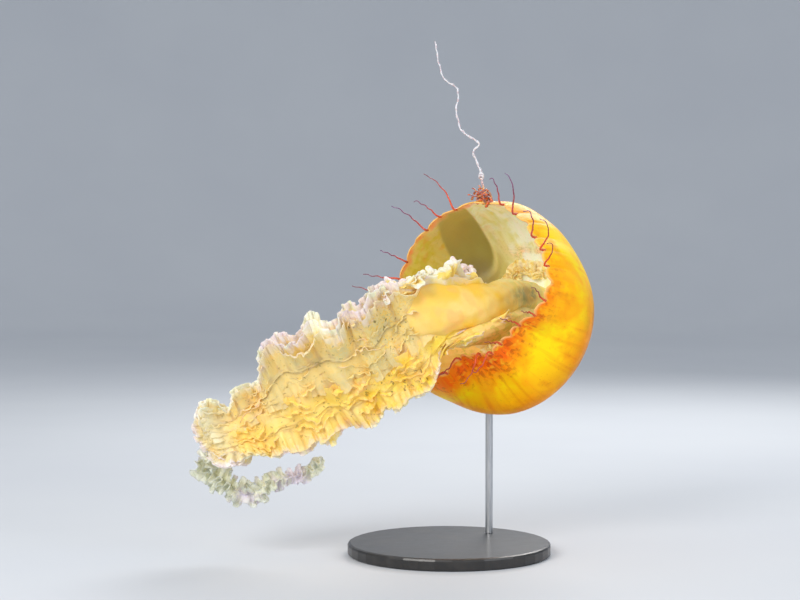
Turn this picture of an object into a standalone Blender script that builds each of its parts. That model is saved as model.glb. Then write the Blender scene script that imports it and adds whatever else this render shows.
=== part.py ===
"""Sea nettle jellyfish, a life-size display model on a plain stand.

Metres, +Z up. The origin is the middle of the underside of the stand's round base.
The bell is caught half closed: a deep bowl whose wall curls in past its widest ring.
Its mouth faces -Y and a little up and to -X. The four oral arms leave it together
towards -Y, bend over the rim and trail off to -X and down.
"""

import math

import bmesh
import bpy
from mathutils import Matrix, Vector
from mathutils.bvhtree import BVHTree

# ---------------------------------------------------------------- driving dimensions
BELL_CENTRE = Vector((0.055, 0.033, 0.289))  # middle of the bell's widest ring
BELL_FACING = Vector((-0.600, -0.755, 0.266)).normalized()  # from the apex out of the mouth

BELL_RADIUS = 0.125  # at the widest ring
DOME_DEPTH = 0.104  # from the widest ring back to the apex
SHOULDER = 0.85  # under 1 makes the dome's back flat and its shoulder full
CURL_ANGLE = math.radians(21.0)  # how far the wall curls in past the widest ring
APEX_THICKNESS = 0.016
RIM_THICKNESS = 0.0032

LAPPETS = 32  # scallops round the rim
LAPPET_REACH = 0.0055  # how far a scallop stands past the notches beside it
CROWN_SEAM = 0.32  # share of the way from apex to rim where the crown meets the wall
SEAM = 0.85  # where the wall meets the margin
TUCK = 0.34  # share of its radius by which the rim is tucked in on the bell's near, lower side
TUCK_MIDDLE = math.radians(292.0)
TUCK_SPREAD = math.radians(50.0)
LOW_TUCK = 0.12  # share added where the rim hangs lowest
LOW_TUCK_MIDDLE = math.radians(262.0)
LOW_TUCK_SPREAD = math.radians(20.0)
GAP = 0.0004  # between pieces that meet

# Wall and margin are parted in four, midway between two tentacles: the notch and a half
# where each quarter starts.
QUARTERS = {"upper": 4.5, "left": 12.5, "lower": 20.5, "right": 28.5}
QUARTER_GAP = 0.0045  # radians between two quarters
AROUND = 60  # segments round the crown and the wall
CROWN_ROWS = 3
WALL_ROWS = 5
MARGIN_ROWS = 3

TENTACLE_BASE = 0.0016  # radius where a tentacle leaves the rim
TENTACLE_TIP = 0.0005
DRIFT = Vector((-0.55, 0.0, 0.12))  # the way the water has carried the tentacles
LONG_TENTACLE_BASE = 0.0015
LONG_TENTACLE_TIP = 0.0008

BASE_RADIUS = 0.120
BASE_HEIGHT = 0.014
BASE_EDGE = 0.003
ROD_RADIUS = 0.0045
ROD_FOOT = Vector((0.050, 0.062))  # where the rod stands on the base

# The bell's own axes: RIGHT and UP lie in the plane of the rim.
RIGHT = (Vector((1, 0, 0)) - BELL_FACING.x * BELL_FACING).normalized()
UP = BELL_FACING.cross(RIGHT)

# The middle of the bundle of oral arms, from the inside of the apex to the tips.
BUNDLE_ROUTE = [
    BELL_CENTRE - BELL_FACING * (DOME_DEPTH - APEX_THICKNESS),
    Vector((0.073, 0.044, 0.292)),
    Vector((0.040, -0.007, 0.286)),
    Vector((0.000, -0.044, 0.270)),
    Vector((-0.051, -0.058, 0.245)),
    Vector((-0.112, -0.054, 0.219)),
    Vector((-0.178, -0.044, 0.187)),
    Vector((-0.243, -0.036, 0.154)),
    Vector((-0.283, -0.029, 0.129)),
    Vector((-0.303, -0.025, 0.116)),
]
STALK_END = 0.120  # how far along the bundle the stalk splits into arms
ARM_CUTS = [STALK_END, 0.235, 0.355, 0.505]  # where each arm's three lengths start and end

# Half width of the bundle, as (distance along it, towards its upper side, lower side).
BUNDLE_WIDTHS = [
    (0.120, 0.028, 0.024),
    (0.165, 0.052, 0.022),
    (0.200, 0.066, 0.024),
    (0.238, 0.082, 0.050),
    (0.256, 0.087, 0.056),
    (0.278, 0.075, 0.054),
    (0.290, 0.077, 0.057),
    (0.306, 0.068, 0.061),
    (0.330, 0.082, 0.064),
    (0.351, 0.074, 0.057),
    (0.376, 0.081, 0.060),
    (0.395, 0.074, 0.062),
    (0.419, 0.036, 0.053),
    (0.434, 0.044, 0.053),
    (0.462, 0.028, 0.039),
    (0.490, 0.037, 0.031),
    (0.508, 0.028, 0.017),
]
LAYER_DEPTH = 0.0165  # from the bundle's middle to the middle of its front or back arms
ARM_THICKNESS = 0.0085  # half, at the middle of an arm
EDGE_THICKNESS = 0.0007  # half, at an arm's frilled edge
RUFFLE = 0.0100  # how far an arm's edge waves
RUFFLE_LENGTH = 0.044
SCALLOP_LENGTH = 0.031
EDGE_SCALLOP = 0.035  # share of an arm's reach by which its edge goes in and out
BUNDLE_TWIST = math.radians(20.0)  # the bundle turns this far to either side of its route
ARM_STATIONS = 12  # sections in each length
ARM_COLUMNS = 4  # faces across an arm

# The fourth arm ends in a thin strand that hangs below the others and turns back.
STRAND_ROUTE = [
    Vector((-0.287, -0.024, 0.104)),
    Vector((-0.267, -0.026, 0.092)),
    Vector((-0.248, -0.028, 0.079)),
    Vector((-0.232, -0.030, 0.074)),
    Vector((-0.211, -0.034, 0.088)),
    Vector((-0.187, -0.036, 0.096)),
    Vector((-0.163, -0.038, 0.101)),
    Vector((-0.148, -0.038, 0.119)),
]
STRAND_RADIUS = 0.0115

# The one tentacle that is let out, a thin kinked thread above the bell.
LONG_TENTACLE = 7  # which notch it grows from
LONG_ROUTE = [
    Vector((0.038, 0.060, 0.455)),
    Vector((0.030, 0.060, 0.475)),
    Vector((0.037, 0.062, 0.486)),
    Vector((0.017, 0.064, 0.501)),
    Vector((0.010, 0.066, 0.525)),
    Vector((0.012, 0.066, 0.550)),
    Vector((0.000, 0.064, 0.559)),
    Vector((-0.009, 0.062, 0.573)),
    Vector((-0.016, 0.060, 0.608)),
]

COLOURS = {  # base colour, roughness
    "bell_orange": ((0.95, 0.50, 0.03), 0.35),
    "margin_orange": ((0.85, 0.27, 0.03), 0.40),
    "arm_cream": ((0.90, 0.68, 0.40), 0.50),
    "tentacle_maroon": ((0.45, 0.06, 0.05), 0.40),
    "thread_pale": ((0.75, 0.80, 0.85), 0.30),
    "stand_black": ((0.03, 0.03, 0.035), 0.45),
    "rod_steel": ((0.60, 0.61, 0.62), 0.30),
}


# ---------------------------------------------------------------- small helpers
def smooth_step(low, high, x):
    share = min(1.0, max(0.0, (x - low) / (high - low)))
    return share * share * (3 - 2 * share)


def material(name):
    found = bpy.data.materials.get(name)
    if found:
        return found
    colour, roughness = COLOURS[name]
    made = bpy.data.materials.new(name)
    made.use_nodes = True
    shader = made.node_tree.nodes["Principled BSDF"]
    shader.inputs["Base Color"].default_value = (*colour, 1)
    shader.inputs["Roughness"].default_value = roughness
    shader.inputs["Metallic"].default_value = 1.0 if name == "rod_steel" else 0.0
    made.diffuse_color = (*colour, 1)
    return made


def add_object(name, points, faces, colour):
    """One closed body with its faces turned outwards."""
    mesh = bpy.data.meshes.new(name)
    mesh.from_pydata(points, [], faces)
    shape = bmesh.new()
    shape.from_mesh(mesh)
    bmesh.ops.recalc_face_normals(shape, faces=shape.faces)
    bmesh.ops.triangulate(shape, faces=shape.faces)
    shape.to_mesh(mesh)
    shape.free()
    mesh.shade_smooth()
    mesh.set_sharp_from_angle(angle=math.radians(50))
    made = bpy.data.objects.new(name, mesh)
    made.data.materials.append(material(colour))
    bpy.context.scene.collection.objects.link(made)
    return made


def curve_through(route, spacing):
    """Evenly spaced points on a smooth curve through the route's points."""
    ends = [2 * route[0] - route[1], *route, 2 * route[-1] - route[-2]]
    fine = []
    for a, b, c, d in zip(ends, ends[1:], ends[2:], ends[3:]):
        for step in range(24):
            t = step / 24
            fine.append(
                0.5 * (2 * b + (c - a) * t + (2 * a - 5 * b + 4 * c - d) * t**2
                       + (3 * b - a - 3 * c + d) * t**3)
            )
    fine.append(route[-1])
    length = sum((q - p).length for p, q in zip(fine, fine[1:]))
    count = max(2, round(length / spacing))
    points, travelled, at = [fine[0]], 0.0, 1
    for p, q in zip(fine, fine[1:]):
        step = (q - p).length
        while at < count and travelled + step >= at * length / count:
            points.append(p.lerp(q, (at * length / count - travelled) / step))
            at += 1
        travelled += step
    points.append(fine[-1])
    return points


def tube(points, radii, sides):
    """Rings of a round tube along points, with flat ends."""
    rings = []
    first = points[1] - points[0]
    across = first.orthogonal().normalized()
    for i, (centre, radius) in enumerate(zip(points, radii)):
        ahead = points[min(i + 1, len(points) - 1)] - points[max(i - 1, 0)]
        ahead.normalize()
        across = (across - across.dot(ahead) * ahead).normalized()
        side = ahead.cross(across)
        rings.append([
            centre + radius * (math.cos(a) * across + math.sin(a) * side)
            for a in (2 * math.pi * k / sides for k in range(sides))
        ])
    return rings


def loft(rings):
    """Points and faces of a body through closed rings of equal count, with flat ends."""
    count = len(rings[0])
    points = [p for ring in rings for p in ring]
    faces = []
    for row in range(len(rings) - 1):
        for k in range(count):
            a, b = row * count + k, row * count + (k + 1) % count
            faces.append((a, b, b + count, a + count))
    last = (len(rings) - 1) * count
    faces.append(tuple(reversed(range(count))))
    faces.append(tuple(range(last, last + count)))
    return points, faces


def nearest_turn(ring, other):
    """The ring, started and wound so that its points lie nearest the other ring's."""
    best = None
    for way in (ring, list(reversed(ring))):
        for k in range(len(way)):
            turned_ring = way[k:] + way[:k]
            far = sum((p - q).length for p, q in zip(turned_ring, other))
            if best is None or far < best[0]:
                best = (far, turned_ring)
    return best[1]


# ---------------------------------------------------------------- bell
def turned(angle, middle):
    """The angle from a middle direction, between minus and plus half a turn."""
    return (angle - middle + math.pi) % math.tau - math.pi


def girth(angle):
    """How far the bell is from round at this angle, as a factor on its radius."""
    oval = -0.034 * math.cos(2 * angle)
    full = 0.045 * math.exp(-((turned(angle, math.radians(135)) / math.radians(32)) ** 2))
    lower = 0.030 * math.exp(-((turned(angle, math.radians(232)) / math.radians(30)) ** 2))
    flat = -0.055 * math.exp(-((turned(angle, math.radians(32)) / math.radians(30)) ** 2))
    return 1 + oval + full + lower + flat


def tuck(angle):
    """The share of its radius by which the rim is tucked in at this angle."""
    broad = TUCK * math.exp(-((turned(angle, TUCK_MIDDLE) / TUCK_SPREAD) ** 4))
    return broad + LOW_TUCK * math.exp(
        -((turned(angle, LOW_TUCK_MIDDLE) / LOW_TUCK_SPREAD) ** 2)
    )


def profile(share):
    """(radius, distance along the facing) of the outside, from apex 0 to rim 1."""
    turn = -math.pi / 2 + share * (math.pi / 2 + CURL_ANGLE)
    if turn < 0:
        return BELL_RADIUS * max(0.0, math.cos(turn)) ** SHOULDER, DOME_DEPTH * math.sin(turn)
    return BELL_RADIUS * math.cos(turn), BELL_RADIUS * math.sin(turn)


def wall_normal(share):
    """Outward normal of the profile, as (radial, along the facing)."""
    step = 0.002
    r0, t0 = profile(max(0.0, share - step))
    r1, t1 = profile(min(1.0, share + step))
    run, rise = r1 - r0, t1 - t0
    size = math.hypot(run, rise)
    return rise / size, -run / size


def wall_thickness(share):
    return RIM_THICKNESS + (APEX_THICKNESS - RIM_THICKNESS) * (1 - share) ** 1.15


def bell_point(share, angle, inside):
    """A point of the bell's outer or inner surface. Past the rim, share follows its slope."""
    held = min(share, 1.0)
    radius, along = profile(held)
    past = share - held
    if past > 0:
        end_r, end_t = profile(1.0)
        near_r, near_t = profile(0.99)
        radius = end_r + (end_r - near_r) * past / 0.01
        along = end_t + (end_t - near_t) * past / 0.01
    if inside:
        out_r, out_t = wall_normal(held)
        thick = wall_thickness(held)
        radius = max(0.0, radius - out_r * thick)
        along -= out_t * thick
    grow = smooth_step(0.15, 0.7, held)
    fold = tuck(angle) * smooth_step(0.60, 1.0, share)
    radius *= 1 + grow * (girth(angle) - 1) - fold
    along += 0.16 * BELL_RADIUS * fold
    direction = math.cos(angle) * RIGHT + math.sin(angle) * UP
    return BELL_CENTRE + radius * direction + along * BELL_FACING


ARC_LENGTH = sum(
    math.dist(profile(i / 200), profile((i + 1) / 200)) for i in range(200)
)


def lappet_share(angle):
    """Where the rim's edge lies at this angle: scallops between notches."""
    wave = abs(math.sin(LAPPETS / 2 * angle))
    return 1 + max(0.0, wave - 0.35) / 0.65 * LAPPET_REACH / ARC_LENGTH


def bell_crown():
    """The closed end of the bell, round the apex."""
    first = math.tau * QUARTERS["upper"] / LAPPETS
    angles = [first + math.tau * k / AROUND for k in range(AROUND)]
    points = [bell_point(0, 0, False), bell_point(0, 0, True)]
    rows = {False: [], True: []}
    for inside in (False, True):
        for row in range(1, CROWN_ROWS + 1):
            share = CROWN_SEAM * row / CROWN_ROWS
            rows[inside].append(range(len(points), len(points) + AROUND))
            points += [bell_point(share, a, inside) for a in angles]
    faces = []
    for inside, pole in ((False, 0), (True, 1)):
        first_row = rows[inside][0]
        for k in range(AROUND):
            faces.append((pole, first_row[k], first_row[(k + 1) % AROUND]))
        for low, high in zip(rows[inside], rows[inside][1:]):
            for k in range(AROUND):
                n = (k + 1) % AROUND
                faces.append((low[k], low[n], high[n], high[k]))
    outer, inner = rows[False][-1], rows[True][-1]
    for k in range(AROUND):
        n = (k + 1) % AROUND
        faces.append((outer[k], outer[n], inner[n], inner[k]))
    return add_object("bell_crown", points, faces, "bell_orange")


def bell_quarter(name, angles, shares_at, colour):
    """A closed piece of the wall, from one angle to another. shares_at gives the shares of
    its rows at an angle, from its crown end to its rim end."""
    points = []
    for angle in angles:
        shares = shares_at(angle)
        points += [bell_point(share, angle, False) for share in shares]
        points += [bell_point(share, angle, True) for share in reversed(shares)]
    count = len(points) // len(angles)
    faces = []
    for k in range(len(angles) - 1):
        for i in range(count):
            a, b = k * count + i, k * count + (i + 1) % count
            faces.append((a, b, b + count, a + count))
    last = len(points) - count
    for i in range(count // 2 - 1):
        end = (i, i + 1, count - 2 - i, count - 1 - i)
        faces.append(tuple(reversed(end)))
        faces.append(tuple(last + corner for corner in end))
    return add_object(name, points, faces, colour)


def steps(low, high, count):
    return [low + (high - low) * i / count for i in range(count + 1)]


def wall_shares(angle):
    return steps(CROWN_SEAM + GAP / ARC_LENGTH, SEAM, WALL_ROWS)


def margin_shares(angle):
    return steps(SEAM + GAP / ARC_LENGTH, lappet_share(angle), MARGIN_ROWS)


def bell_wall_and_margin():
    """Four quarters of the wall, and four of the margin, which carries the scallops. The
    margin has two sections at the foot of each notch, where a tentacle stands."""
    pitch = math.tau / LAPPETS
    walls = {}
    for side, start in QUARTERS.items():
        low = pitch * start + QUARTER_GAP / 2
        high = pitch * (start + LAPPETS / 4) - QUARTER_GAP / 2
        between = steps(pitch * start, pitch * (start + LAPPETS / 4), AROUND // 4)[1:-1]
        walls[side] = bell_quarter(
            f"bell_wall_{side}", [low, *between, high], wall_shares, "bell_orange"
        )
        between = [
            pitch * (start + 0.5 + number + offset)
            for number in range(LAPPETS // 4)
            for offset in (-0.33, -0.11, 0.11, 0.33)
        ]
        bell_quarter(
            f"bell_margin_{side}", [low, *between, high], margin_shares, "margin_orange"
        )
    return walls


# ---------------------------------------------------------------- oral arms
class Bundle:
    """The route that all four arms share, with two directions across it at each place:
    WIDE lies towards the bundle's upper side and DEEP away from its front."""

    def __init__(self):
        self.step = 0.002
        self.points = curve_through(BUNDLE_ROUTE, self.step)
        self.step = sum(
            (q - p).length for p, q in zip(self.points, self.points[1:])
        ) / (len(self.points) - 1)
        self.length = self.step * (len(self.points) - 1)
        self.ahead = []
        for i in range(len(self.points)):
            near, far = max(i - 1, 0), min(i + 1, len(self.points) - 1)
            self.ahead.append((self.points[far] - self.points[near]).normalized())
        self.wide = [None] * len(self.points)
        wide = Vector((-0.5, 0.0, 0.87))
        for i in reversed(range(len(self.points))):
            wide = (wide - wide.dot(self.ahead[i]) * self.ahead[i]).normalized()
            self.wide[i] = wide

    def at(self, distance):
        """(place, ahead, wide, deep) at a distance along the bundle."""
        spot = min(max(distance / self.step, 0.0), len(self.points) - 1.001)
        i, share = int(spot), spot - int(spot)
        place = self.points[i].lerp(self.points[i + 1], share)
        ahead = self.ahead[i].lerp(self.ahead[i + 1], share).normalized()
        wide = self.wide[i].lerp(self.wide[i + 1], share)
        wide = (wide - wide.dot(ahead) * ahead).normalized()
        twist = BUNDLE_TWIST * math.sin(math.tau * distance / 0.42) * min(1.0, distance / STALK_END)
        wide = Matrix.Rotation(twist, 3, ahead) @ wide
        return place, ahead, wide, ahead.cross(wide)


def widths(distance):
    """Half widths of the bundle towards its upper and its lower side."""
    table = BUNDLE_WIDTHS
    for (d0, u0, l0), (d1, u1, l1) in zip(table, table[1:]):
        if distance <= d1:
            share = smooth_step(d0, d1, distance)
            return u0 + (u1 - u0) * share, l0 + (l1 - l0) * share
    return table[-1][1:]


def arm_section(bundle, distance, upper, front):
    """A ring of points round one arm: a thick middle, thin edges, and a wave along the edge."""
    place, _, wide, deep = bundle.at(distance)
    reach = widths(distance)[0 if upper else 1]
    reach *= 1 if front else 0.93
    own = 1.7 * upper + 0.6 * front
    scallop = 1 + EDGE_SCALLOP * math.sin(math.tau * distance / SCALLOP_LENGTH + 2.1 * own)
    split = 0.006 * math.sin(math.tau * distance / 0.17)
    side = 1 if upper else -1
    inner, outer = split + side * 0.0012, side * reach * scallop
    narrow = min(1.0, reach / 0.040)
    middle = (-1 if front else 1) * LAYER_DEPTH * (0.35 + 0.65 * narrow)
    back_face, front_face = [], []
    for column in range(ARM_COLUMNS + 1):
        share = column / ARM_COLUMNS
        across = inner + (outer - inner) * share
        phase = math.tau * distance / RUFFLE_LENGTH + own + 2.0 * share
        wave = RUFFLE * narrow * (0.25 + 0.75 * share) * math.sin(phase)
        thick = EDGE_THICKNESS
        thick += (ARM_THICKNESS - EDGE_THICKNESS) * narrow * math.sin(math.pi * share) ** 0.6
        spine = place + across * wide + (middle + wave) * deep
        back_face.append(spine + thick * deep)
        front_face.append(spine - thick * deep)
    return back_face + list(reversed(front_face))


def oral_arm(bundle, number, upper, front):
    """One arm in three lengths."""
    names = ("root", "middle", "tip")
    for name, start, end in zip(names, ARM_CUTS, ARM_CUTS[1:]):
        begin, finish = start + GAP / 2, end - GAP / 2
        rings = []
        for i in range(ARM_STATIONS):
            distance = begin + (finish - begin) * i / (ARM_STATIONS - 1)
            rings.append(arm_section(bundle, distance, upper, front))
        points, faces = loft(rings)
        add_object(f"oral_arm_{number}_{name}", points, faces, "arm_cream")


def strand(bundle):
    """The thin end of the fourth arm, from the end of its last length."""
    first = arm_section(bundle, ARM_CUTS[-1] + GAP / 2, False, False)
    start = sum(first, Vector()) / len(first)
    ahead = bundle.at(ARM_CUTS[-1])[1]
    points = curve_through([start, start + 0.005 * ahead, *STRAND_ROUTE], 0.0115)
    radii = []
    for i in range(len(points)):
        share = i / (len(points) - 1)
        bump = 1 + 0.16 * math.sin(15 * share * math.tau / 2)
        radii.append(STRAND_RADIUS * bump * (1 - 0.55 * share) * smooth_step(-0.30, 0.12, share))
    rings = tube(points, radii, len(first))
    rings[0] = nearest_turn(first, rings[1])
    add_object("oral_arm_4_strand", *loft(rings), "arm_cream")


def mouth_stalk(bundle, crown):
    """The four-pillared stalk between the inside of the apex and the arms."""
    surface = BVHTree.FromObject(crown, bpy.context.evaluated_depsgraph_get())
    sides, rows = 16, 8
    rings = []
    for row in range(rows):
        share = row / (rows - 1)
        place, ahead, wide, deep = bundle.at(STALK_END * share)
        spread = 0.019 + 0.012 * smooth_step(0.35, 0.0, share) + 0.010 * smooth_step(0.55, 1.0, share)
        ring = []
        for k in range(sides):
            angle = math.tau * k / sides
            radius = spread * (1 + 0.20 * math.cos(4 * angle))
            ring.append(place + radius * (math.cos(angle) * wide + math.sin(angle) * deep))
        if row == 0:
            hits = [surface.ray_cast(p + 0.02 * BELL_FACING, -BELL_FACING)[0] for p in ring]
            ring = [hit + 2 * GAP * BELL_FACING for hit in hits]
        rings.append(ring)
    points, faces = loft(rings)
    add_object("mouth_stalk", points, faces, "arm_cream")


# ---------------------------------------------------------------- tentacles
def notch(index):
    """Middle of the rim's edge at a notch, the way the rim points there, and outwards."""
    angle = math.tau * index / LAPPETS
    share = lappet_share(angle)
    def middle(share, angle):
        return (bell_point(share, angle, False) + bell_point(share, angle, True)) / 2

    edge = middle(share, angle)
    along_rim = (middle(share, angle + 0.02) - middle(share, angle - 0.02)).normalized()
    onward = edge - middle(share - 0.01, angle)
    onward -= onward.dot(along_rim) * along_rim
    outwards = math.cos(angle) * RIGHT + math.sin(angle) * UP
    return edge, onward.normalized(), outwards, angle


def tentacle(index, number):
    """A short tentacle: it stands on the rim's edge, then turns outwards over it.
    On the tucked side it lies forwards over the opening instead."""
    edge, onward, outwards, angle = notch(index)
    inward = math.exp(-((turned(angle, math.radians(328)) / math.radians(30)) ** 4))
    under_arms = math.exp(-((turned(angle, math.radians(214)) / math.radians(25)) ** 2))
    length = 0.030 + 0.014 * math.sin(1.9 * number + 0.4) ** 2
    length *= 1 - 0.50 * max(inward, under_arms)
    lean = (1 - 0.9 * inward) * outwards + 0.8 * inward * BELL_FACING
    lean += (1 - inward) * DRIFT - 0.4 * under_arms * BELL_FACING
    lean = (lean + 0.20 * math.sin(2.4 * number + 0.7) * BELL_FACING.cross(outwards)).normalized()
    hook = 0.30 * length * (DRIFT - 0.4 * math.cos(1.3 * number) * BELL_FACING)
    start = edge + (GAP + 0.0003) * onward
    low = math.exp(-((turned(angle, LOW_TUCK_MIDDLE) / LOW_TUCK_SPREAD) ** 2))
    stands = 0.008 - 0.002 * low
    turning = start + stands * onward
    route = [
        start,
        start + 0.5 * stands * onward,
        turning + 0.004 * (onward + lean).normalized(),
        turning + 0.55 * length * lean,
        turning + length * lean + hook,
    ]
    points = curve_through(route, 0.0084)
    radii = [
        TENTACLE_TIP + (TENTACLE_BASE - TENTACLE_TIP) * (1 - i / (len(points) - 1)) ** 1.3
        for i in range(len(points))
    ]
    add_object(f"tentacle_{number:02d}", *loft(tube(points, radii, 5)), "tentacle_maroon")


def long_tentacle(number):
    """The tentacle that is let out, in two lengths."""
    edge, onward, outwards, _ = notch(LONG_TENTACLE)
    start = edge + (GAP + 0.0002) * onward
    route = [start, start + 0.006 * onward + 0.003 * outwards]
    route += LONG_ROUTE
    points = curve_through(route, 0.0068)
    radii = [
        LONG_TENTACLE_BASE + (LONG_TENTACLE_TIP - LONG_TENTACLE_BASE) * i / (len(points) - 1)
        for i in range(len(points))
    ]
    half = len(points) // 2
    rings = tube(points, radii, 5)
    ahead = (points[half + 1] - points[half - 1]).normalized()
    upper = [[p + GAP * ahead for p in rings[half]], *rings[half + 1:]]
    add_object(f"tentacle_{number:02d}", *loft(rings[: half + 1]), "thread_pale")
    add_object(f"tentacle_{number:02d}_end", *loft(upper), "thread_pale")


def tentacles():
    number = 0
    for index in range(LAPPETS):
        if index % 4 == 0:  # every fourth notch holds a sense organ and no tentacle
            continue
        number += 1
        if index == LONG_TENTACLE:
            long_tentacle(number)
        else:
            tentacle(index, number)


# ---------------------------------------------------------------- stand
def stand_base():
    sides = 40
    outline = [
        (BASE_RADIUS - BASE_EDGE / 2, 0.0),
        (BASE_RADIUS, BASE_EDGE / 2),
        (BASE_RADIUS, BASE_HEIGHT - BASE_EDGE),
        (BASE_RADIUS - BASE_EDGE * 0.3, BASE_HEIGHT - BASE_EDGE * 0.3),
        (BASE_RADIUS - BASE_EDGE, BASE_HEIGHT),
    ]
    rings = [
        [Vector((r * math.cos(a), r * math.sin(a), z))
         for a in (math.tau * k / sides for k in range(sides))]
        for r, z in outline
    ]
    add_object("stand_base", *loft(rings), "stand_black")


def stand_rod(wall):
    """A straight rod whose top follows the bell that rests on it."""
    surface = BVHTree.FromObject(wall, bpy.context.evaluated_depsgraph_get())
    sides = 12
    low, high = [], []
    for k in range(sides):
        angle = math.tau * k / sides
        x = ROD_FOOT.x + ROD_RADIUS * math.cos(angle)
        y = ROD_FOOT.y + ROD_RADIUS * math.sin(angle)
        hit = surface.ray_cast(Vector((x, y, BASE_HEIGHT)), Vector((0, 0, 1)))[0]
        low.append(Vector((x, y, BASE_HEIGHT + GAP)))
        high.append(Vector((x, y, hit.z - GAP)))
    add_object("stand_rod", *loft([low, high]), "rod_steel")


def main():
    for old in list(bpy.data.objects):
        bpy.data.objects.remove(old)
    crown = bell_crown()
    walls = bell_wall_and_margin()
    bundle = Bundle()
    bpy.context.view_layer.update()
    mouth_stalk(bundle, crown)
    for number, upper, front in ((1, True, True), (2, False, True), (3, True, False), (4, False, False)):
        oral_arm(bundle, number, upper, front)
    strand(bundle)
    tentacles()
    stand_base()
    stand_rod(walls["lower"])


main()
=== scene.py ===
# %% [markdown]
# # A sea nettle, life size, on a display stand
# A sea nettle is a jellyfish. It has a bell of clear jelly under a thin orange skin, a
# mouth stalk inside the bell, four long frilled arms that grow from the stalk, and a
# fringe of stinging tentacles on the rim. The solids already hold all of these as plain
# closed bodies. This script dresses them: each body of flesh is replaced by a finer
# mesh that follows the same measures, and the stand keeps its solids and gets a finish.
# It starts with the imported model, so that every piece lands in the right place.

import math

import bpy
import numpy as np
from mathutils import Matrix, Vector


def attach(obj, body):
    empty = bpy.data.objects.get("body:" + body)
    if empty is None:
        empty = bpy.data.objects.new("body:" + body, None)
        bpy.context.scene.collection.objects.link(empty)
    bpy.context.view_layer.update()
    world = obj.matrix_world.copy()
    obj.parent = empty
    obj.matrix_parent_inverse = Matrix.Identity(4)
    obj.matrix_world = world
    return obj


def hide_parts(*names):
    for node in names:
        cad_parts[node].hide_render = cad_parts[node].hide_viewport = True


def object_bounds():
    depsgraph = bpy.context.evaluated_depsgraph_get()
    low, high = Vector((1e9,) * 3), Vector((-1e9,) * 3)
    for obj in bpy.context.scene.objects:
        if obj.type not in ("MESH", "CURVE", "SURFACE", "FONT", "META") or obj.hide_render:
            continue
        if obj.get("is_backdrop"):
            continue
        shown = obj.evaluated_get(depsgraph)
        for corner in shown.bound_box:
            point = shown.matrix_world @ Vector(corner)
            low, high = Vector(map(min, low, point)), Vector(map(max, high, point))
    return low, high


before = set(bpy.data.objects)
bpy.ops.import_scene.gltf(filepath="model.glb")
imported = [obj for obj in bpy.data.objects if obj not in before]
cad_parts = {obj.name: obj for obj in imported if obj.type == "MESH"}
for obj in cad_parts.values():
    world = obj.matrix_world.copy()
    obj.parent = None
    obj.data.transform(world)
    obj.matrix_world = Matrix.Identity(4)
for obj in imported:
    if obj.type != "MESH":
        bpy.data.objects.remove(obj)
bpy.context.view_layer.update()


# %% [markdown]
# ## Small tools for shapes
# Everything here grows from a few measures and smooth functions of them. Numpy works on
# all points of a sheet at once, which is far quicker than one point at a time. A wander
# is a sum of slow waves: it gives the unevenness of a living thing, and it is the same
# on every run because nothing in it is random.

# %% Vectors, blends and wanders
def unit(vector):
    """The vector, or each of a list of vectors, drawn out to a length of 1."""
    vector = np.asarray(vector, float)
    return vector / np.linalg.norm(vector, axis=-1, keepdims=True)


def blend(low, high, x):
    """0 below low, 1 above high, and a smooth slope between them."""
    share = np.clip((x - low) / (high - low), 0, 1)
    return share * share * (3 - 2 * share)


def bump_at(x, middle, width):
    """A bell curve: 1 at the middle, and near 0 two widths from it."""
    return np.exp(-(((x - middle) / width) ** 2))


def turned(angle, middle_degrees):
    """The angle from a middle direction, between minus and plus half a turn."""
    return (angle - math.radians(middle_degrees) + math.pi) % math.tau - math.pi


def smooth_steps(at, values, distance):
    """Values that are given at a few stations, with smooth steps in between."""
    i = np.clip(np.searchsorted(at, distance) - 1, 0, len(at) - 2)
    low, high = values[..., i], values[..., i + 1]
    return low + (high - low) * blend(at[i], at[i + 1], distance)


def wander(x, seed):
    """A slow, uneven wave of x, roughly between -1 and 1."""
    total = 0
    for order, weight in ((1.0, 0.5), (1.73, 0.3), (2.91, 0.2)):
        total = total + weight * np.sin(order * x + 12.9898 * seed * order + 4.1 * order)
    return total


print("a quarter of the way is blended to", float(blend(0, 1, 0.25)))


# %% A curve through a few points
def travelled(points):
    """How far along the curve each of its points lies, in metres."""
    return np.concatenate([[0], np.cumsum(np.linalg.norm(np.diff(points, axis=0), axis=1))])


def curve_through(route, step):
    """Evenly spaced points on a smooth curve through the route's points."""
    route = np.asarray(route, float)
    ends = np.vstack([2 * route[0] - route[1], route, 2 * route[-1] - route[-2]])
    t = np.arange(24)[:, None] / 24
    fine = [
        0.5 * (2 * b + (c - a) * t + (2 * a - 5 * b + 4 * c - d) * t**2
               + (3 * b - a - 3 * c + d) * t**3)
        for a, b, c, d in zip(ends, ends[1:], ends[2:], ends[3:])
    ]
    fine = np.vstack([*fine, route[-1:]])
    arc = travelled(fine)
    stations = np.linspace(0, arc[-1], max(3, round(arc[-1] / step) + 1))
    return np.stack([np.interp(stations, arc, fine[:, k]) for k in range(3)], axis=1)


def frames_along(points, start):
    """At each point: ahead along the curve, and two directions across it that do not spin."""
    ahead = unit(np.gradient(points, axis=0))
    across = np.zeros_like(points)
    across[0] = unit(start - start @ ahead[0] * ahead[0])
    for i in range(1, len(points)):
        across[i] = unit(across[i - 1] - across[i - 1] @ ahead[i] * ahead[i])
    return ahead, across, np.cross(ahead, across)


print("curve test:", curve_through([(0, 0, 0), (1, 0, 0), (1, 1, 0)], step=0.5).shape)


# %% [markdown]
# ## From grids of points to pieces
# A sheet of flesh is a grid: columns run along it and rows across it. Giving the grid a
# front and a back and closing its four borders makes a solid skin with a real
# thickness, which light can pass through. Each sheet also carries numbers on its
# points, such as how near a point is to the free edge. The finishes read them to
# decide where a colour lies, so colour and shape stay together.

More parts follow.
